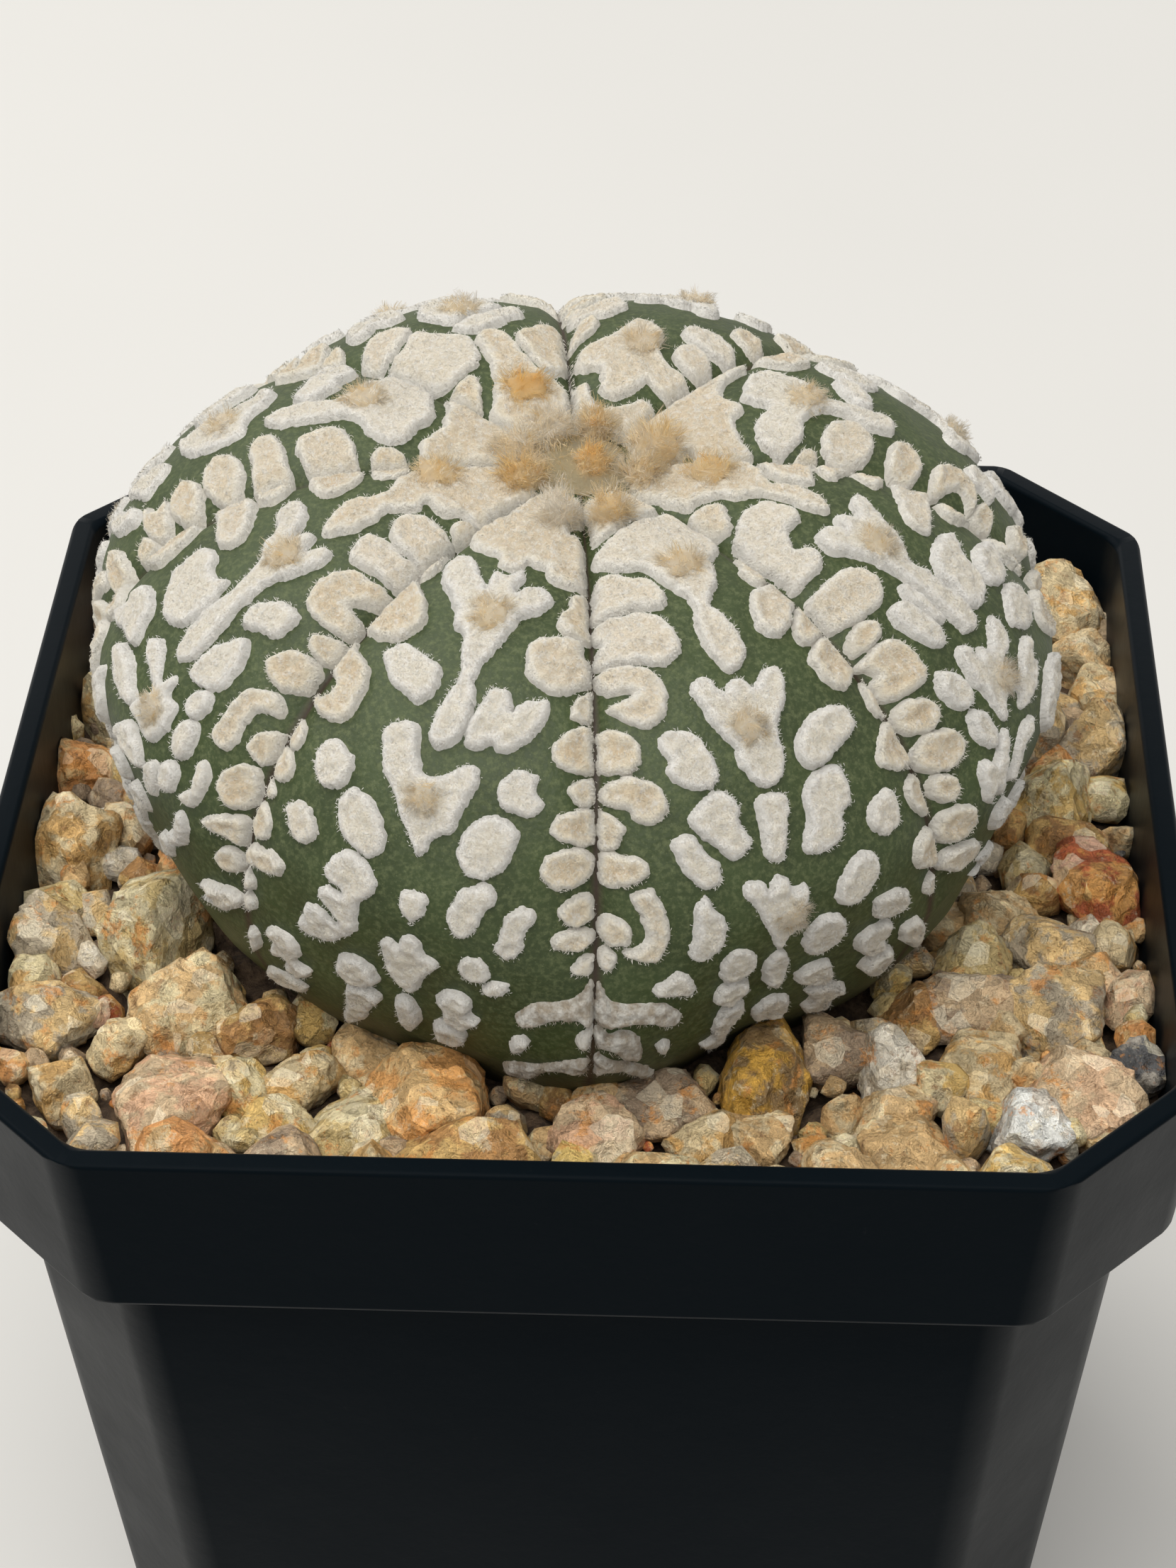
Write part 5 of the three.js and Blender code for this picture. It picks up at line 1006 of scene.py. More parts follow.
def skin_finish(colour, speck_colour):
    """Dark olive skin: matt, finely mottled, with tiny pale specks and painted shade in the
    creases.
    """
    finish = Finish("cactus_skin")
    groove, along, _ = finish.split(finish.painted("skin"))
    broad = finish.noise(220, 3)
    fine = finish.noise(2300, 5, 0.7)
    specks = finish.cells(3100)
    base = finish.layers(
        colour,
        (broad, 0.35, 0.68, 1.0, shade(colour, 1.35)),
        (fine, 0.46, 0.7, 0.62, speck_colour),
        (specks, 0.2, 0.06, 0.42, speck_colour),
        (along, 0.95, 1.0, 0.35, SKIN_FOOT),
        # Painted shade in the crease of each groove.
        (groove, 0.955, 1.0, 1.0, PAINTED_CREASE_SHADE),
    )
    bump = finish.relief(finish.noise(900, 5), 0.35, 0.0002)
    finish.set(Base_Color=base, Roughness=finish.between(fine, 0.3, 0.7, 0.5, 0.68),
               Specular_IOR_Level=0.38, Normal=finish.relief(specks, 0.25, 0.0001, bump))
    return finish.material


def felt_finish(white, cream, tan):
    """Dense short felt: bright ragged rims, warmer middles near the grooves and the crown, and
    painted shade and highlights on its fine relief.
    """
    finish = Finish("felt")
    depth, warmth, tint = finish.split(finish.painted("felt"))
    fibres = finish.noise(4300, 5, 0.75)
    curls = finish.noise(2100, 6, 0.72)
    lumps = finish.noise(1250, 4, 0.6)
    creamy = finish.product(warmth, finish.between(lumps, 0.3, 0.62, 0.55, 1.0))
    middle = finish.product(finish.between(depth, 0.3, 0.95),
                            finish.between(warmth, 0.15, 0.9, 0.08, 0.85))
    middle = finish.product(middle, finish.between(lumps, 0.34, 0.56, 0.3, 1.0))
    hollow = finish.product(finish.between(depth, 0.25, 0.9, 0.0, 0.5),
                            finish.between(warmth, 0.0, 0.5, 1.0, 0.25))
    base = finish.mix(creamy, white, cream)
    base = finish.mix(middle, base, tan)
    base = finish.mix(hollow, base, shade(cream, 0.88))
    cork = finish.mix(finish.between(lumps, 0.4, 0.6), CORK_PALE, CORK_DARK)
    base = finish.layers(
        base,
        (tint, 0.0, 1.0, 0.2, shade(cream, 0.84)),
        # Painted shade in the pits of the fibre and curl relief, and a painted highlight on the
        # curl crests.
        (fibres, 0.52, 0.32, 0.45, shade(tan, 0.72)),
        (curls, 0.48, 0.36, 0.34, shade(cream, 0.8)),
        (curls, 0.52, 0.64, 0.6, white),
        (depth, 0.5, 0.1, 0.55, white),
        (tint, 1.2, 1.8, 1.0, cork),
    )
    bump = finish.relief(lumps, 0.6, 0.0003)
    bump = finish.relief(curls, 1.0, 0.0004, bump)
    finish.set(Base_Color=base, Roughness=0.95, Specular_IOR_Level=0.15, Sheen_Weight=0.25,
               Sheen_Roughness=0.6, Normal=finish.relief(fibres, 1.0, 0.0002, bump))
    return finish.material


def wool_finish(name, pale, golden, amber):
    """Soft wool that lets light through: cream over golden to amber, warmer at the roots, partly as
    painted shade.
    """
    finish = Finish(name)
    height, warmth, tint = finish.split(finish.painted("wool"))
    fibres = finish.noise(5200, 4, 0.7)
    base = finish.layers(pale, (warmth, 0.0, 0.5, 1.0, golden), (warmth, 0.5, 1.0, 1.0, amber))
    # Warmer, darker roots: partly the wool's own colour, partly painted shade down among the hairs.
    rooted = finish.product(finish.between(height, 0.3, 0.62, 0.45, 0.0),
                            finish.between(warmth, 0.05, 0.7, 0.1, 1.0))
    base = finish.mix(rooted, base, amber)
    tipped = finish.product(finish.between(height, 0.7, 1.0, 0.0, 0.5),
                            finish.between(warmth, 0.3, 1.0, 1.0, 0.25))
    base = finish.mix(tipped, base, pale)
    base = finish.layers(
        base,
        (tint, 0.0, 1.0, 0.16, shade(golden, 0.86)),
        # Painted shade in the pits of the fibre relief.
        (fibres, 0.5, 0.32, 0.16, amber),
    )
    finish.set(Base_Color=base, Roughness=0.9, Specular_IOR_Level=0.15, Sheen_Weight=0.35,
               Sheen_Roughness=0.5, Normal=finish.relief(fibres, 0.9, 0.0003))
    through = finish.node("BsdfTranslucent", Color=base).outputs["BSDF"]
    gaps = finish.node("BsdfTransparent").outputs["BSDF"]
    soft = finish.blend(WOOL_LETS_THROUGH, finish.surface.outputs["BSDF"], through)
    airy = finish.blend(WOOL_GAPS, soft, gaps)
    finish.set(finish.nodes["Material Output"], Surface=airy)
    return finish.material


def stone_finish():
    """Dry crushed stone: its own colour, crystalline, stained with rust, with a gritty face,
    painted shade in its pits and painted glints.
    """
    finish = Finish("gravel_stone")
    patches = finish.noise(330, 6, 0.62)
    grit = finish.noise(1700, 5, 0.65)
    veins = finish.noise(560, 8, 0.75)
    rust = finish.noise(410, 5, 0.7)
    coarse, fine = finish.crystals(640), finish.crystals(1500)
    tone, stain = finish.painted("tone"), finish.painted("stain")
    base = finish.layers(tone, (patches, 0.48, 0.54, 1.0, stain))
    for crystals, darkest, brightest in ((coarse, 0.68, 1.2), (fine, 0.84, 1.14)):
        share = finish.between(crystals, 0.0, 1.0, darkest, brightest)
        base = finish.mix(1.0, base, share, "MULTIPLY")
    base = finish.layers(
        base,
        (veins, 0.57, 0.62, 0.5, STONE_VEIN),
        (rust, 0.57, 0.64, 0.75, STONE_RUST),
        (veins, 0.43, 0.36, 0.7, STONE_CRACK),
        # Painted shade where the grit relief dips into pits.
        (grit, 0.39, 0.31, 0.6, STONE_PIT_SHADE),
        # Painted glint on a few bright crystals.
        (coarse, 0.86, 0.92, 0.45, STONE_PAINTED_GLINT),
    )
    bump = finish.relief(finish.noise(520, 7, 0.7), 1.0, 0.0014)
    bump = finish.relief(finish.cells(640), 1.0, 0.0013, bump)
    finish.set(Base_Color=base, Roughness=finish.between(fine, 0.0, 1.0, 0.34, 0.72),
               Specular_IOR_Level=0.5, Normal=finish.relief(grit, 0.9, 0.0005, bump))
    return finish.material


def soil_and_gap_shade_finish(name):
    """Dark crumbly mix, also laid under the stones as painted shade in the gaps between them."""
    finish = Finish(name)
    crumbs = finish.noise(800, 6, 0.7)
    base = finish.layers(SOIL_AND_GAP_SHADE_DARK, (crumbs, 0.4, 0.65, 1.0, SOIL_AND_GAP_SHADE_PALE))
    finish.set(Base_Color=base, Roughness=0.95, Normal=finish.relief(crumbs, 0.9, 0.0012))
    return finish.material


def plastic_finish(colour, dust_colour):
    """Black moulded plastic: matt, with a faint grain, thin dust and a few pale scuffs."""
    finish = Finish("black_plastic")
    clouds = finish.noise(38, 5, 0.6)
    grain = finish.noise(2600, 3)
    dust = finish.noise(700, 8, 0.72)
    stretched = finish.node("Mapping", Vector=finish.place, Scale=SCUFF_STRETCH)
    scuffs = finish.noise(90, 9, 0.75, stretched.outputs["Vector"])
    base = finish.layers(
        colour,
        (clouds, 0.45, 0.8, 0.005, dust_colour),
        (dust, 0.66, 0.8, 0.09, dust_colour),
        (scuffs, 0.7, 0.8, 0.12, dust_colour),
    )
    slant = finish.node("LayerWeight").outputs["Facing"]
    bump = finish.relief(grain, 0.12, 0.0001)
    finish.set(Base_Color=base, Roughness=finish.between(clouds, 0.3, 0.7, 0.42, 0.58),
               Specular_IOR_Level=finish.between(slant, 0.38, 0.68, 0.03, 0.24),
               Normal=finish.relief(clouds, 0.25, 0.0012, bump))
    return finish.material


def floor_finish(colour):
    """Plain pale floor with a very faint mottle."""
    finish = Finish("pale_floor")
    base = finish.layers(colour, (finish.noise(6, 3), 0.3, 0.7, 1.0, shade(colour, 0.97)))
    finish.set(Base_Color=base, Roughness=0.9)
    return finish.material


# Sizes and colours that a user would change.

def amount(name, description, default, **kind):
    """A number from 0 up."""
    return FloatProperty(name=name, description=description, default=default, min=0.0, **kind)


def length(name, description, default):
    """A length in metres."""
    return amount(name, description, default, unit="LENGTH", precision=5)


def power(name, description, default):
    """The power of a light in watts."""
    return amount(name, description, default, unit="POWER")


def colour(name, description, default):
    """A colour."""
    return FloatVectorProperty(name=name, description=description, default=default, size=3,
                               min=0.0, max=1.0, subtype="COLOR")


class StemSettings(bpy.types.PropertyGroup):
    """The stem and its skin."""

    radius: length("Radius", "Radius of the stem at its widest level", 0.0376)
    rise: length("Rise", "Height of the stem over its widest level, if the crown weren't sunk",
                 0.0246)
    drop: length("Drop", "Depth of the stem below its widest level", 0.033)
    crown_sink: length("Crown sink", "How far the crown is sunk", 0.004)
    groove_depth: length("Groove depth", "Depth of the grooves between the ribs", 0.002)
    skin: colour("Skin", "Main colour of the skin", (0.026, 0.04, 0.0105))
    specks: colour("Specks", "Colour of the fine pale specks in the skin", (0.12, 0.14, 0.062))


class FeltSettings(bpy.types.PropertyGroup):
    """The felt flecks on the ribs."""

    lift: length("Lift", "How far the flecks stand out of the skin", 0.00066)
    edge: length("Edge", "Width of the rounded edge of a fleck", 0.0005)
    cell: length("Cell", "Size of the cells that the flecks are made of", 0.00021)
    strand: length("Strand", "Length of the short hairs along the edges", 0.00034)
    white: colour("White", "Felt in the middle of the ribs", (0.92, 0.9, 0.85))
    cream: colour("Cream", "Felt along the grooves and round the crown", (0.9, 0.82, 0.63))
    tan: colour("Tan", "Middles of the flecks along the grooves", (0.7, 0.52, 0.31))


class WoolSettings(bpy.types.PropertyGroup):
    """The wool of the areoles and of the crown."""

    tuft_radius: length("Tuft radius", "Radius of an areole's tuft", 0.0018)
    tuft_height: length("Tuft height", "Height of an areole's tuft", 0.0009)
    crown_radius: length("Crown radius", "Radius of the wool in the crown's middle", 0.0062)
    crown_height: length("Crown height", "Height of the wool in the crown's middle", 0.002)
    pale: colour("Pale", "Tips of the wool", (1.0, 0.97, 0.9))
    golden: colour("Golden", "Golden wool", (1.0, 0.79, 0.43))
    amber: colour("Amber", "Wool near its roots, and the most golden tuft", (0.98, 0.61, 0.17))


class GravelSettings(bpy.types.PropertyGroup):
    """The stones over the potting mix."""

    front_depth: length("Front depth", "Depth of the bed below the rim in front", 0.0053)
    back_depth: length("Back depth", "Depth of the bed below the rim behind", 0.0088)
    seed: IntProperty(name="Seed", description="Start of the draws that place the stones",
                      default=41, min=1)


class PotSettings(bpy.types.PropertyGroup):
    """The pot."""

    corner_rounding: length("Corner rounding", "Rounding of the upright edges", 0.0018)
    plastic: colour("Plastic", "Colour of the plastic", (0.0014, 0.0034, 0.0052))
    dust: colour("Dust", "Colour of the dust and scuffs on it", (0.1, 0.1, 0.098))


class StageSettings(bpy.types.PropertyGroup):
    """Floor, light and camera."""

    floor: colour("Floor", "Colour of the floor", (0.555, 0.549, 0.53))
    key_power: power("Key power", "Power of the large soft light", 7.4)
    fill_power: power("Fill power", "Power of the soft light over the camera", 9.6)
    sky: amount("Sky", "Strength of the even light from all round", 0.72)


# Pieces.

class CACTUS_OT_skin(bpy.types.Operator):
    """Build the green skin of the stem, with its ribs, grooves, neck and root"""

    bl_idname = "cactus.build_skin"
    bl_label = "Stem skin"

    def execute(self, context):
        size = context.scene.cactus_stem
        form = StemForm(size)
        crease = np.linspace(CREASE_START, 1, CREASE_POINTS)
        bowl = np.linspace(-CREASE_START, CREASE_START, BOWL_POINTS)
        shares = np.concatenate([-crease[::-1], bowl[1:], crease[1:-1]])
        along = np.concatenate([np.linspace(*FINE_RINGS),
                                np.linspace(NECK_START, form.along_marks[-1], NECK_RINGS)])
        rings = len(along) + len(ROOT_RINGS)
        segments = len(shares) * len(GROOVES)
        clear_selection()
        bpy.ops.mesh.primitive_uv_sphere_add(segments=segments, ring_count=rings + 1, radius=1.0)
        skin = context.object
        skin.name = "stem_skin"
        points = points_of(skin)
        if len(points) != rings * segments + 2:
            raise RuntimeError("the skin's starting ball has another number of points")
        turn, level = self.ball_places(points, segments, rings)
        inner = (level >= 0) & (level < rings)
        moved = np.zeros_like(points)
        moved[inner] = self.rings(form, shares, along)[level[inner], turn[inner]]
        moved[level < 0] = (0, 0, form.profile(np.array(0.0))[1])
        moved[level >= rings] = (0, 0, ROOT_RINGS[-1][1] - 1)
        wave = soft_noise(moved, 0.22, 3) * 0.25 + soft_noise(moved, 0.6, 4) * 0.06
        moved[inner] += unit(moved[inner]) * wave[inner, None]
        move_points(skin, form.placed(moved))
        reach = np.concatenate([along, np.full(len(ROOT_RINGS), along[-1])])
        marks = np.zeros((len(points), 3))
        marks[inner, 0] = np.tile(np.abs(shares), len(GROOVES))[turn[inner]]
        marks[inner, 1] = np.clip(reach[level[inner]] / FELT_END, 0, 1)
        paint_points(skin, "skin", marks)
        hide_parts("stem")
        finish_piece(skin, skin_finish(tuple(size.skin), tuple(size.specks)))
        return {"FINISHED"}

    @staticmethod
    def ball_places(points, segments, rings):
        """Segment and ring of each point of a ball, with the poles just before and after."""
        turn = np.degrees(np.arctan2(points[:, 1], points[:, 0])) / 360 * segments
        level = np.degrees(np.arccos(np.clip(points[:, 2], -1, 1))) / 180 * (rings + 1)
        return np.round(turn).astype(int) % segments, np.round(level).astype(int) - 1

    @staticmethod
    def rings(form, shares, along):
        """The stem's rings from the crown to the neck, then those of the root."""
        levels = []
        for polar in form.polar_at(along):
            ring = np.full(len(shares), polar)
            levels.append(np.concatenate([form.surface(rib, shares, ring, 0.0)
                                          for rib in range(len(GROOVES))]))
        spread = unit(levels[0][:, :2])
        for radius, height in ROOT_RINGS:
            levels.append(np.column_stack([spread * radius, np.full(len(spread), height)]))
        return np.stack(levels)


def fleck_warmth(form, rib, outline):
    """How creamy a fleck is: most near the grooves and the crown, none low on the crest."""
    middle, _ = middle_of(outline)
    share = abs(middle[0]) / form.half_width(rib, middle[1])
    near_groove = np.clip((share - 0.55) / 0.25, 0, 1)
    near_crown = np.clip((21 - middle[1]) / 9, 0, 1)
    near_base = np.clip((middle[1] - 40) / 10, 0, 1)
    return max(near_groove * (1 - 0.55 * near_base), 0.8 * near_crown)


def fleck_tint(form, rib, outline, number):
    """How shaded a fleck is, from 0 to 1, or 2 where it has turned corky by the front groove."""
    middle, half = middle_of(outline)
    side = FRONT_GROOVE_SIDE.get(rib, 0)
    by_groove = side * middle[0] / form.half_width(rib, middle[1]) > 0.6
    if by_groove and middle[1] > CORKY_FROM and half[0] > 1.2:
        return 2.0
    return scatter(np.array([number]), np.array([rib]), np.array([5]), 9)[0]


class CACTUS_OT_felt(bpy.types.Operator):
    """Build the raised felt flecks, cream along the grooves and white between them"""

    bl_idname = "cactus.build_felt"
    bl_label = "Felt flecks"

    def execute(self, context):
        form = StemForm(context.scene.cactus_stem)
        size = context.scene.cactus_felt
        cell = size.cell / MM * 1.0
        flecks, _ = felt_layout(form)
        groups = {"groove_felt": [], "rib_felt": []}
        for number, (rib, outline) in enumerate(flecks):
            warmth = fleck_warmth(form, rib, outline)
            tint = fleck_tint(form, rib, outline, number)
            sheet = self.sheet(form, rib, smooth_outline(outline, OUTLINE_CUTS), cell, size,
                               warmth, tint)
            groups["groove_felt" if warmth > 0.5 else "rib_felt"].append(sheet)
        material = felt_finish(tuple(size.white), tuple(size.cream), tuple(size.tan))
        for name, sheets in groups.items():
            points, faces, colours = joined(sheets)
            piece = mesh_piece(name, form.placed(points), faces)
            paint_points(piece, "felt", colours)
            finish_piece(piece, material)
        return {"FINISHED"}

    @staticmethod
    def sheet(form, rib, outline, cell, size, warmth, tint):
        """One fleck: a fine sheet that rises out of the skin inside a ragged outline."""
        middle, half = middle_of(outline)
        counts = np.ceil(2 * (half + 0.3) / cell).astype(int) + 1
        xs, ys = (middle[i] + (np.arange(counts[i]) - (counts[i] - 1) / 2) * cell for i in (0, 1))
        spots = np.stack([grid.ravel() for grid in np.meshgrid(xs, ys)], axis=-1)
        skin = form.on_rib(rib, spots, 0.0)
        outward = form.on_rib(rib, spots, 1.0) - skin
        inside = distance_to_outline(spots, outline)
        inside = inside + 0.13 * soft_noise(skin, 1.1, 11) + 0.12 * soft_noise(skin, 3.0, 12)
        # A rounded edge, and a skirt that dives into the skin outside it.
        bulk = np.clip(inside / (size.edge / MM), 0, 1)
        rise = size.lift / MM * np.sqrt(np.maximum(0, 1 - (1 - bulk) ** 2))
        rise = np.where(inside < 0, inside * 1.5, rise)
        # Lumps, and a dished middle, most where the felt is creamy.
        rise = rise + bulk * (0.13 * soft_noise(skin, 0.8, 13) + 0.13 * soft_noise(skin, 1.7, 14)
                              + 0.1 * soft_noise(skin, 3.4, 15))
        rise = rise - np.clip((inside - 0.5) / 0.7, 0, 1) * (0.06 + 0.16 * warmth)
        points = skin + outward * rise[:, None]
        # Faces with a corner inside the skirt, and only the points that they use.
        kept = (inside > -FELT_SKIRT).reshape(counts[1], counts[0])
        corner = np.arange(len(spots)).reshape(kept.shape)
        near, far = slice(None, -1), slice(1, None)
        around = ((near, near), (far, near), (far, far), (near, far))
        used = np.any([kept[part] for part in around], axis=0)
        faces = np.stack([corner[part][used] for part in around], axis=-1)
        names, faces = np.unique(faces, return_inverse=True)
        colours = np.tile([0.0, warmth, tint], (len(names), 1))
        colours[:, 0] = np.clip(inside[names], 0, 1)
        return points[names], faces.reshape(-1, 4), colours


class CACTUS_OT_fuzz(bpy.types.Operator):
    """Build the short hairs that fringe the flecks and stand on them"""

    bl_idname = "cactus.build_fuzz"
    bl_label = "Felt hairs"

    def execute(self, context):
        form = StemForm(context.scene.cactus_stem)
        size = context.scene.cactus_felt
        flecks, _ = felt_layout(form)
        rng = np.random.default_rng(5)
        fringe, nap = [], []
        for number, (rib, outline) in enumerate(flecks):
            curve = smooth_outline(outline, OUTLINE_CUTS)
            warmth = fleck_warmth(form, rib, outline)
            tint = fleck_tint(form, rib, outline, number)
            for parts, depth, hairs in ((fringe, 0.0, self.edge_hairs(form, rib, curve, size, rng)),
                                        (nap, 0.2, self.top_hairs(form, rib, curve, size, rng))):
                parts.append((*hairs, np.tile([depth, warmth, tint], (len(hairs[0]), 1))))
        for name, parts in (("felt_fringe", fringe), ("felt_nap", nap)):
            roots, mids, tips, normals, colours = (np.concatenate(part) for part in zip(*parts))
            across = unit(np.cross(tips - roots, normals + rng.normal(0, 0.3, normals.shape)))
            width = rng.uniform(0.035, 0.06, len(roots))
            points, faces = strand_faces([roots, mids, tips], across, width, normals)
            each = len(points) // len(roots)
            piece = mesh_piece(name, form.placed(points), faces)
            paint_points(piece, "felt", np.repeat(colours, each, axis=0))
            use_soft_normals(piece, form.turned(np.repeat(normals, each, axis=0)))
            finish_piece(piece, bpy.data.materials["felt"])
        return {"FINISHED"}

    def edge_hairs(self, form, rib, curve, size, rng):
        """Hairs that lean out over the edge of a fleck."""
        lift, long = size.lift / MM, size.strand / MM
        following = np.roll(curve, -1, axis=0)
        steps = np.linalg.norm(following - curve, axis=1)
        amounts = rng.poisson(steps * EDGE_HAIRS[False])
        base = np.repeat(curve, amounts, axis=0)
        side = np.repeat(following - curve, amounts, axis=0)
        base = base + side * rng.random((len(base), 1))
        area = np.sum(curve[:, 0] * following[:, 1] - following[:, 0] * curve[:, 1])
        outward = unit(np.stack([side[:, 1], -side[:, 0]], axis=-1)) * (1 if area > 0 else -1)
        outward = unit(outward + rng.normal(0, 0.6, outward.shape))
        reach = long * rng.uniform(0.4, 1.1, (len(base), 1))
        low = lift * rng.uniform(0.2, 0.9, len(base))
        return self.grow(form, rib, base - outward * 0.22, outward, reach, low, 0.35)

    def top_hairs(self, form, rib, curve, size, rng):
        """Hairs that stand on a fleck."""
        middle, half = middle_of(curve)
        tries = int(4 * half[0] * half[1] * TOP_HAIRS[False])
        spots = middle + rng.uniform(-1, 1, (tries, 2)) * half
        spots = spots[distance_to_outline(spots, curve) > 0.2]
        lean = unit(rng.normal(0, 1, spots.shape))
        reach = size.strand / MM * rng.uniform(0.5, 1.0, (len(spots), 1))
        low = np.full(len(spots), size.lift / MM * 0.9)
        return self.grow(form, rib, spots, lean, reach, low, 0.45)

    @staticmethod
    def grow(form, rib, start, lean, reach, low, upright):
        """Roots, middles, tips and normals of hairs that leave the skin along a lean and rise."""
        skin = form.on_rib(rib, start, 0.0)
        normal = unit(form.on_rib(rib, start, 1.0) - skin)
        far = start + lean * reach * (1 - 0.5 * upright)
        rise = reach[:, 0] * (0.25 + 0.6 * upright)
        half_way = form.on_rib(rib, (start + far) / 2, 0.0)
        return (skin + normal * low[:, None], half_way + normal * (low + rise * 0.65)[:, None],
                form.on_rib(rib, far, 0.0) + normal * (low + rise)[:, None], normal)


def tuft(ball, base, outward, radius, height, warmth, hairs, long, combed, curly, seed):
    """A lumpy dome of wool under fine curved hairs: points, faces, normals and colours of both."""
    rng = np.random.default_rng(seed)
    box = (radius, radius, height)
    up = np.array([0, 0, 1.0])
    points, faces = ball
    aside = unit(np.cross(outward, [0.3, 0.2, 0.93] if abs(outward[2]) < 0.9 else [1.0, 0, 0]))
    axes = np.stack([aside, np.cross(outward, aside), outward])
    # The dome, warmest in its middle.
    lumps = (1 + 0.22 * soft_noise(points * 1.9 + seed, 1.0, 21)
             + 0.2 * soft_noise(points * 4.5 + seed, 1.0, 22))
    dome = points * lumps[:, None] * box * WOOL_CORE
    dome_warmth = (warmth * (1.2 - 0.7 * np.linalg.norm(points[:, :2], axis=1))
                   + 0.2 * soft_noise(points * 2.4 + seed, 1.0, 23))
    # Low on the dome the finish warms and darkens the wool as at the roots, partly as painted
    # shade.
    dome_colours = np.stack([np.clip(points[:, 2] * 0.3 + 0.6, 0, 1), np.clip(dome_warmth, 0, 1),
                             np.full(len(points), rng.random())], axis=-1)
    # Locks of hairs that share a place, a lean and a curl.
    locks = max(9, hairs // HAIRS_IN_LOCK)
    lock = rng.integers(0, locks, hairs)
    lock_way = rng.normal(0, 1, (locks, 3))
    lock_way[:, 2] = np.abs(lock_way[:, 2]) * 0.9 - 0.15
    lock_way = unit(lock_way)
    lean = unit(lock_way * (1 - combed) + up * combed + rng.normal(0, 0.4, (locks, 3)))
    curl = unit(np.cross(lean, rng.normal(0, 1, (locks, 3)))) * curly
    # Each hair, in four points from its root in the dome to its tip.
    way = unit(lock_way[lock] + rng.normal(0, 0.11, (hairs, 3)))
    root = way * box * rng.uniform(0.5, 0.8, (hairs, 1))
    lead = unit(lean[lock] + rng.normal(0, 0.18, way.shape))
    bend = curl[lock]
    reach = long * rng.uniform(0.4, 1.15, (locks, 1))[lock] * rng.uniform(0.8, 1.1, (hairs, 1))
    stray = rng.normal(0, 0.12, way.shape)
    rows = [root, root + (lead + bend * 0.3) * reach * 0.4,
            root + (lead * 0.75 + bend * 0.42) * reach,
            root + (lead * 0.95 + bend * 0.2 + stray) * reach]
    soft = unit(way + up * 0.9 + rng.normal(0, 0.22, (locks, 3))[lock])
    across = unit(np.cross(lead, unit(soft + rng.normal(0, 0.4, way.shape))))
    strands, strand_parts = strand_faces(rows, across, rng.uniform(0.03, 0.065, hairs), soft)
    each = len(HAIR_HEIGHTS)
    strand_warmth = (warmth * (1.2 - 0.7 * np.linalg.norm(way[:, :2], axis=1))
                     + rng.normal(0, 0.14, locks)[lock] + rng.normal(0, 0.05, hairs))
    strand_colours = np.stack([np.tile(HAIR_HEIGHTS, hairs),
                               np.repeat(np.clip(strand_warmth, 0, 1), each),
                               np.repeat(rng.random(locks)[lock], each)], axis=-1)
    all_points = np.concatenate([dome, strands]) @ axes + base
    normals = np.concatenate([unit(points + up * 0.6), np.repeat(soft, each, axis=0)]) @ axes
    all_faces = np.concatenate([faces, strand_parts + len(dome)])
    return all_points, all_faces, normals, np.concatenate([dome_colours, strand_colours])


def wool_piece(name, form, tufts, size, slot):
    """Joins tufts to one piece of wool."""
    points, faces, normals, colours = joined(tufts)
    piece = mesh_piece(name, form.placed(points), faces)
    paint_points(piece, "wool", colours)
    use_soft_normals(piece, form.turned(normals))
    finish_piece(piece, wool_finish(slot, tuple(size.pale), tuple(size.golden), tuple(size.amber)))
    return piece


class CACTUS_OT_areoles(bpy.types.Operator):
    """Build the woolly tuft of each areole"""

    bl_idname = "cactus.build_areoles"
    bl_label = "Areole tufts"

    def execute(self, context):
        form = StemForm(context.scene.cactus_stem)
        size = context.scene.cactus_wool
        lift = context.scene.cactus_felt.lift / MM
        ball = ball_template(3)
        _, spots = felt_layout(form)
        tufts = []
        for number, (rib, along, across) in enumerate(spots):
            skin, outward = form.foot_of(rib, along, across)
            age = np.clip((along - 9) / 34, 0, 1)
            growth, warmth = 1.2 - 0.4 * age, 0.3 - 0.24 * age
            if along < YOUNG_AREOLE:
                growth, warmth = (1.25, 1.0) if rib == GOLDEN_RIB else (1.3, 0.55)
            radius, height = size.tuft_radius / MM * growth, size.tuft_height / MM * growth
            tufts.append(tuft(ball, skin + outward * lift * 0.8, outward, radius, height, warmth,
                              AREOLE_HAIRS, AREOLE_HAIR * growth, 0.1, 1.3, number + 1))
        wool_piece("areole_tufts", form, tufts, size, "areole_wool")
        return {"FINISHED"}


class CACTUS_OT_crown(bpy.types.Operator):
    """Build the golden wool in the sunken crown"""

    bl_idname = "cactus.build_crown"
    bl_label = "Crown wool"

    def execute(self, context):
        form = StemForm(context.scene.cactus_stem)
        size = context.scene.cactus_wool
        ball = ball_template(3)
        up = np.array([0, 0, 1.0])
        crown = up * form.profile(np.array(0.0))[1]
        tufts = [
            tuft(ball, crown, up, size.crown_radius / MM, size.crown_height / MM, 0.5, 1300, 1.2,
                 0.3, 1.0, 91),
            tuft(ball, crown + CROWN_GLOBE, up, 1.6, 1.9, 0.8, 900, 1.0, 0.3, 0.7, 92),
        ]
        for rib, along, across, radius, height, warmth, combed, curly in CROWN_TUFTS:
            skin, _ = form.foot_of(rib, along, across)
            outward = unit(skin - crown + up * 14)
            tufts.append(tuft(ball, skin + outward * 0.3, outward, radius, height, warmth,
                              CROWN_HAIRS, CROWN_HAIR, combed, curly, 60 + rib))
        piece = wool_piece("crown_tufts", form, tufts, size, "crown_wool")
        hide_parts("crown_wool")
        return {"FINISHED"}


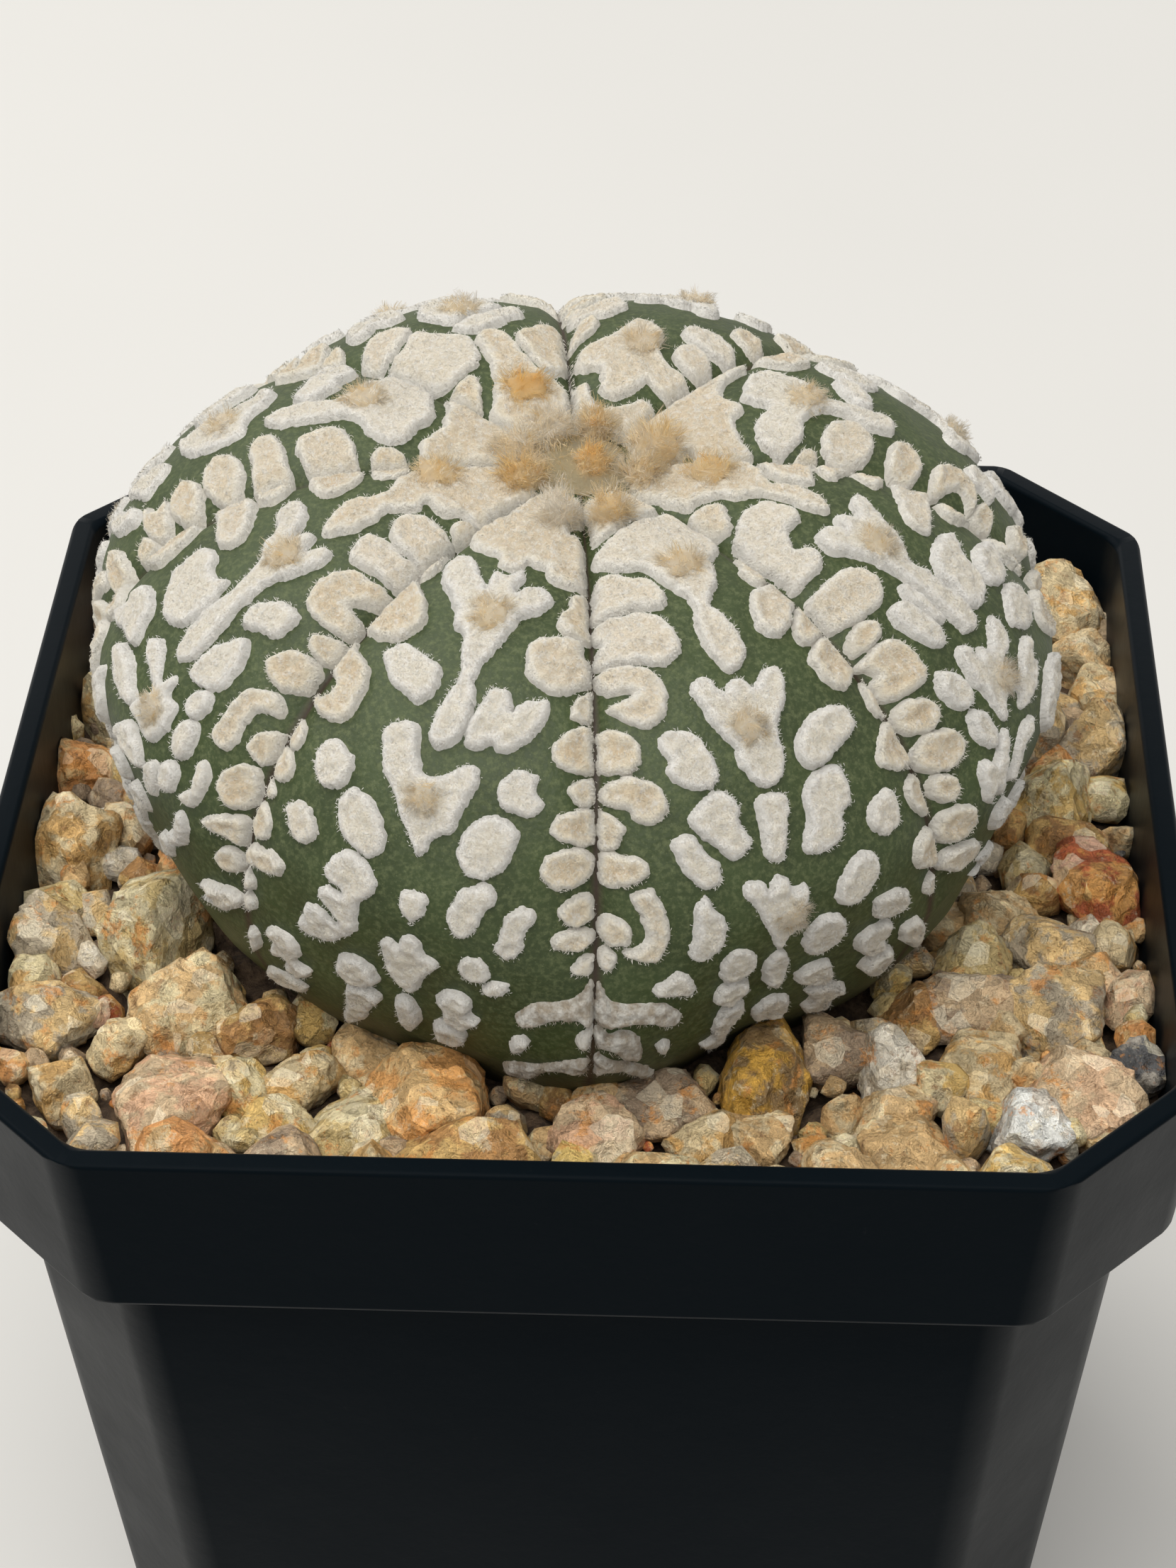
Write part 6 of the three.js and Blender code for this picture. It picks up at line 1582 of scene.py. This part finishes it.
def bed_level(size, x, y):
    """Height of the gravel bed in millimetres, which lies lower at the back."""
    _, _, top = POT_RINGS[3]
    share = (y + POT_HALF) / (2 * POT_HALF)
    front, back = size.front_depth / MM, size.back_depth / MM
    return top - (front + (back - front) * share)


def cut_corners(points, limit):
    """Draws points in behind the pot's cut corners, where across plus along is the limit."""
    over = np.maximum(0, np.abs(points[:, 0]) + np.abs(points[:, 1]) - limit) / 2
    points[:, :2] -= np.sign(points[:, :2]) * over[:, None]


def from_stem(x, y):
    """Distance from the middle of the stem."""
    return math.hypot(x - STEM_PLACE[0], y - STEM_PLACE[1])


def place_stones(size):
    """The seen stones, then others from large to small."""
    draws = seeded_draws(size.seed)
    stones = []
    for x, y, wide, high, tone in SEEN_STONES:
        tilt, spin = next(draws), next(draws)
        stones.append((x, y, wide, (wide, wide, high), STONE_SEAT * high, tilt, spin, tone))
    kinds = [(radius, STONE_SPACING, NEAREST_STONE) for radius in STONE_RADII]
    kinds += [(radius, FILLER_SPACING, NEAREST_FILLER) for radius in FILLER_RADII]
    for radius, spacing, nearest in kinds:
        reach = MIDDLE_LIMIT - STONE_INSET * radius
        for _ in range(STONE_TRIES):
            x = (2 * next(draws) - 1) * reach
            y = (2 * next(draws) - 1) * reach
            in_corner = abs(x) + abs(y) > 2 * reach - MIDDLE_CORNER
            free = all(math.hypot(other[0] - x, other[1] - y) > spacing * (other[2] + radius)
                       for other in stones)
            if in_corner or from_stem(x, y) <= nearest or not free:
                continue
            rise, spin, tilt = -0.3 + 1.2 * next(draws), next(draws), next(draws)
            shares = (0.9 + 0.3 * tilt, 1.1 - 0.25 * tilt, 0.85 + 0.25 * spin)
            tone = COMMON_TONES[int(spin * 997) % len(COMMON_TONES)]
            sizes = tuple(share * radius for share in shares)
            stones.append((x, y, radius, sizes, rise, tilt, spin, tone))
    return stones


def stone_points(ball_points, sizes, tilt, spin, seed, place):
    """Points of one crushed stone: a rounded many-sided body with a rough face."""
    rng = np.random.default_rng(seed)
    planes = unit(rng.normal(0, 1, (12, 3)))
    planes = np.concatenate([planes, -planes[:3]])
    away = rng.uniform(0.68, 1.0, len(planes))
    facing = np.maximum(ball_points @ planes.T, 0) / away
    sharp = rng.uniform(20, 60)
    radius = np.maximum((facing ** sharp).sum(1), 1e-9) ** (-1 / sharp)
    radius = np.minimum(radius, 1.25)
    radius = STONE_SWELL * radius / np.percentile(radius, 80)
    body = ball_points * radius[:, None]
    spot = body + seed
    rough = (0.06 * soft_noise(spot, 2.2, 31) + 0.09 * np.abs(soft_noise(spot, 4.5, 32))
             + 0.04 * soft_noise(spot, 8.0, 33))
    body = body * (1 + rough)[:, None]
    turn = turn_matrix(("Z", 360 * spin), ("X", 360 * tilt))
    return (body @ turn.T) * sizes + place


class CACTUS_OT_gravel(bpy.types.Operator):
    """Build the gravel: the seen stones, drawn ones, fillers and grit, over a dark sheet of painted
    shade for the gaps
    """

    bl_idname = "cactus.build_gravel"
    bl_label = "Gravel"

    def execute(self, context):
        size = context.scene.cactus_gravel
        material = stone_finish()
        fine, medium, coarse = ball_template(4), ball_template(3), ball_template(2)
        stones = place_stones(size)
        groups = {"gravel_stones": [], "gravel_filling": []}
        for number, (x, y, radius, sizes, rise, tilt, spin, tone) in enumerate(stones):
            large = radius > LEAST_STONE
            ball = coarse if not large else fine if number < len(SEEN_STONES) else medium
            place = np.array([x, y, bed_level(size, x, y) + rise])
            points = stone_points(ball[0], np.array(sizes), tilt, spin, number + 100, place)
            points[:, :2] = np.clip(points[:, :2], -POINT_LIMIT, POINT_LIMIT)
            cut_corners(points, POINT_CORNER)
            name = "gravel_stones" if large else "gravel_filling"
            groups[name].append((points, ball[1], tone))
        groups["gravel_filling"] += self.grit(size, coarse)
        for name, bodies in groups.items():
            finish_piece(self.join(name, bodies), material)
        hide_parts("gravel")
        # A dark sheet under the stones: painted shade seen in the gaps between them.
        finish_piece(self.bed(size), soil_and_gap_shade_finish("gravel_gap_shade"))
        return {"FINISHED"}

    @staticmethod
    def grit(size, ball):
        """Small chips in the gaps between the stones."""
        rng = np.random.default_rng(17)
        chips = []
        while len(chips) < CHIPS:
            x, y = rng.uniform(-CHIP_LIMIT, CHIP_LIMIT, 2)
            radius = rng.uniform(*CHIP_RADII)
            if abs(x) + abs(y) > CHIP_CORNER or from_stem(x, y) < NEAREST_CHIP:
                continue
            place = np.array([x, y, bed_level(size, x, y) + rng.uniform(-0.9, 0.3)])
            sizes = radius * rng.uniform(0.7, 1.2, 3)
            points = stone_points(ball[0], sizes, rng.random(), rng.random(), len(chips) + 900,
                                  place)
            chips.append((points, ball[1], CHIP_TONES[len(chips) % len(CHIP_TONES)]))
        return chips

    @staticmethod
    def join(name, bodies):
        """All bodies as one mesh, each painted in its own tone."""
        start, parts = 0, []
        for points, faces, tone in bodies:
            rng = np.random.default_rng(start + 3)
            paints = [np.tile(np.array(shades) * rng.uniform(0.85, 1.1), (len(points), 1))
                      for shades in STONE_TONES[tone]]
            parts.append((points, faces, *paints))
            start += len(points)
        points, faces, tones, stains = joined(parts)
        piece = mesh_piece(name, points * MM, faces)
        paint_points(piece, "tone", np.clip(tones, 0, 1))
        paint_points(piece, "stain", np.clip(stains, 0, 1))
        return piece

    @staticmethod
    def bed(size):
        """The dark sheet under the stones, painted shade for the gaps between them: a rough grid
        with cut corners.
        """
        clear_selection()
        bpy.ops.mesh.primitive_grid_add(x_subdivisions=GAP_SHADE_CELLS, y_subdivisions=GAP_SHADE_CELLS,
                                        size=GAP_SHADE_WIDTH)
        bed = bpy.context.object
        bed.name = "gravel_gap_shade"
        points = points_of(bed) / MM
        cut_corners(points, GAP_SHADE_CORNER)
        level = bed_level(size, points[:, 0], points[:, 1]) - GAP_SHADE_UNDER
        points[:, 2] = (level + 0.7 * soft_noise(points, 0.5, 41)
                        + 0.35 * soft_noise(points, 1.4, 42))
        move_points(bed, points * MM)
        return bed


class CACTUS_OT_pot(bpy.types.Operator):
    """Build the pot: rings extruded over the rim and down inside, with rounded edges"""

    bl_idname = "cactus.build_pot"
    bl_label = "Pot"

    def execute(self, context):
        size = context.scene.cactus_pot
        clear_selection()
        bpy.ops.mesh.primitive_circle_add(vertices=8, radius=0.04, fill_type="NGON",
                                          location=(0, 0, 0))
        pot = context.object
        pot.name = "black_pot"
        bpy.ops.object.mode_set(mode="EDIT")
        bpy.ops.mesh.select_all(action="SELECT")
        self.set_ring(pot, *POT_RINGS[0])
        for half, cut, height in POT_RINGS[1:]:
            bpy.ops.mesh.extrude_region_move(TRANSFORM_OT_translate={"value": (0, 0, 0.001)})
            self.set_ring(pot, half, cut, height)
        bpy.ops.mesh.select_all(action="SELECT")
        bpy.ops.mesh.normals_make_consistent(inside=False)
        bpy.ops.object.mode_set(mode="OBJECT")
        self.drill(pot)
        self.weigh_edges(pot)
        rounding = pot.modifiers.new("Rounding", "BEVEL")
        rounding.limit_method = "WEIGHT"
        rounding.width = size.corner_rounding
        rounding.segments = 4
        bpy.ops.object.modifier_apply(modifier=rounding.name)
        bpy.ops.object.shade_smooth_by_angle(angle=math.radians(32))
        evened = pot.modifiers.new("Evened", "WEIGHTED_NORMAL")
        evened.keep_sharp = True
        bpy.ops.object.modifier_apply(modifier=evened.name)
        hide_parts("pot")
        finish_piece(pot, plastic_finish(tuple(size.plastic), tuple(size.dust)))
        return {"FINISHED"}

    @staticmethod
    def set_ring(pot, half, cut, height):
        """Moves the eight selected points to a square ring with cut corners."""
        shaped = bmesh.from_edit_mesh(pot.data)
        chosen = [v for v in shaped.verts if v.select]
        edge = half - cut
        corners = [(half, -edge), (half, edge), (edge, half), (-edge, half),
                   (-half, edge), (-half, -edge), (-edge, -half), (edge, -half)]
        chosen.sort(key=lambda v: math.atan2(v.co.y, v.co.x))
        corners.sort(key=lambda c: math.atan2(c[1], c[0]))
        if len(chosen) != len(corners):
            raise RuntimeError("a ring of the pot has lost a corner")
        for vertex, (x, y) in zip(chosen, corners):
            vertex.co = (x * MM, y * MM, height * MM)
        bmesh.update_edit_mesh(pot.data)

    @staticmethod
    def drill(pot):
        """Cuts the four drain holes through the floor."""
        for x, y in itertools.product((-DRAIN_OFFSET, DRAIN_OFFSET), repeat=2):
            clear_selection()
            bpy.ops.mesh.primitive_cylinder_add(vertices=28, radius=DRAIN_RADIUS * MM, depth=0.006,
                                                location=(x * MM, y * MM, 0.001))
            drill = bpy.context.object
            cut = pot.modifiers.new("Drain hole", "BOOLEAN")
            cut.operation = "DIFFERENCE"
            cut.object = drill
            bpy.context.view_layer.objects.active = pot
            bpy.ops.object.modifier_apply(modifier=cut.name)
            remove_piece(drill)
        clear_selection()
        pot.select_set(True)
        bpy.context.view_layer.objects.active = pot

    @staticmethod
    def weigh_edges(pot):
        """Says how much each edge is rounded: upright ones most, the rim and the band a little."""
        shaped = bmesh.new()
        shaped.from_mesh(pot.data)
        weights = shaped.edges.layers.float.new("bevel_weight_edge")
        for edge in shaped.edges:
            low, high = sorted(v.co.z / MM for v in edge.verts)
            outer = min(max(abs(v.co.x), abs(v.co.y)) for v in edge.verts) / MM
            of_drain = -1 < low and high < 3 and outer < 30
            upright = high - low > 5
            if of_drain:
                continue
            if upright:
                edge[weights] = 1.0 if outer > 40 or low < 1 else 0.5
            elif low > 83:  # The rim.
                edge[weights] = 0.22
            elif low > 60:  # The foot of the rim band, outside and inside.
                edge[weights] = 0.28
            elif low < 1:  # The foot.
                edge[weights] = 0.4
        shaped.to_mesh(pot.data)
        shaped.free()


class CACTUS_OT_mix(bpy.types.Operator):
    """Give the potting mix its crumbly finish"""

    bl_idname = "cactus.finish_mix"
    bl_label = "Potting mix"

    def execute(self, context):
        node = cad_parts["potting_mix"]
        node.data.materials.clear()
        node.data.materials.append(soil_and_gap_shade_finish("potting_mix"))
        return {"FINISHED"}


class CACTUS_OT_stage(bpy.types.Operator):
    """Set the pale floor, the soft lights and the camera"""

    bl_idname = "cactus.set_stage"
    bl_label = "Stage"

    def execute(self, context):
        size = context.scene.cactus_stage
        clear_selection()
        bpy.ops.mesh.primitive_plane_add(size=FLOOR_WIDTH, location=(0, 0, 0))
        floor = context.object
        floor.name = "floor"
        floor.data.materials.append(floor_finish(tuple(size.floor)))
        self.light("key_light", KEY_PLACE, KEY_WIDTH, size.key_power, KEY_TONE)
        self.light("fill_light", FILL_PLACE, FILL_WIDTH, size.fill_power, FILL_TONE)
        world = bpy.data.worlds.new("soft_sky")
        world.use_nodes = True
        sky = world.node_tree.nodes["Background"]
        sky.inputs["Color"].default_value = (*SKY_TONE, 1.0)
        sky.inputs["Strength"].default_value = size.sky
        context.scene.world = world
        context.scene.view_settings.view_transform = "Standard"
        lens = bpy.data.cameras.new("camera")
        lens.sensor_width = SENSOR_WIDTH
        lens.lens = LENS
        lens.clip_start = 0.01
        lens.clip_end = 20.0
        camera = bpy.data.objects.new("camera", lens)
        context.collection.objects.link(camera)
        turn = Matrix(turn_matrix(*CAMERA_TURNS)).to_4x4()
        camera.matrix_world = Matrix.Translation(CAMERA_PLACE) @ turn
        context.scene.camera = camera
        return {"FINISHED"}

    @staticmethod
    def light(name, place, width, power, tone):
        """A large square light aimed at the plant."""
        lamp = bpy.data.lights.new(name, "AREA")
        lamp.size = width
        lamp.energy = power
        lamp.color = tone
        source = bpy.data.objects.new(name, lamp)
        source.location = place
        source.rotation_mode = "QUATERNION"
        source.rotation_quaternion = (Vector(AIM) - Vector(place)).to_track_quat("-Z", "Y")
        bpy.context.collection.objects.link(source)


class CACTUS_PT_panel(bpy.types.Panel):
    """Lists the pieces of the potted cactus and their settings"""

    bl_idname = "CACTUS_PT_panel"
    bl_label = "Potted star cactus"
    bl_space_type = "VIEW_3D"
    bl_region_type = "UI"
    bl_category = "Cactus"

    def draw(self, context):
        for operator in OPERATORS:
            self.layout.operator(operator.bl_idname)
        for name in SETTINGS:
            group = getattr(context.scene, name)
            box = self.layout.box()
            for field in group.bl_rna.properties:
                if field.identifier not in {"rna_type", "name"}:
                    box.prop(group, field.identifier)


OPERATORS = [
    CACTUS_OT_stage, CACTUS_OT_pot, CACTUS_OT_mix, CACTUS_OT_gravel, CACTUS_OT_skin, CACTUS_OT_felt,
    CACTUS_OT_fuzz, CACTUS_OT_areoles, CACTUS_OT_crown,
]
SETTINGS = {
    "cactus_stem": StemSettings,
    "cactus_felt": FeltSettings,
    "cactus_wool": WoolSettings,
    "cactus_gravel": GravelSettings,
    "cactus_pot": PotSettings,
    "cactus_stage": StageSettings,
}


def register():
    """Adds the settings, operators and panel to Blender."""
    for name, group in SETTINGS.items():
        bpy.utils.register_class(group)
        setattr(bpy.types.Scene, name, PointerProperty(type=group))
    for operator in OPERATORS:
        bpy.utils.register_class(operator)
    bpy.utils.register_class(CACTUS_PT_panel)


def unregister():
    """Takes the panel, operators and settings out of Blender."""
    bpy.utils.unregister_class(CACTUS_PT_panel)
    for operator in reversed(OPERATORS):
        bpy.utils.unregister_class(operator)
    for name, group in reversed(SETTINGS.items()):
        delattr(bpy.types.Scene, name)
        bpy.utils.unregister_class(group)


def main():
    """Builds every piece in order."""
    register()
    bpy.ops.cactus.set_stage()
    bpy.ops.cactus.build_pot()
    bpy.ops.cactus.finish_mix()
    bpy.ops.cactus.build_gravel()
    bpy.ops.cactus.build_skin()
    bpy.ops.cactus.build_felt()
    bpy.ops.cactus.build_fuzz()
    bpy.ops.cactus.build_areoles()
    bpy.ops.cactus.build_crown()


if __name__ == "__main__":
    main()
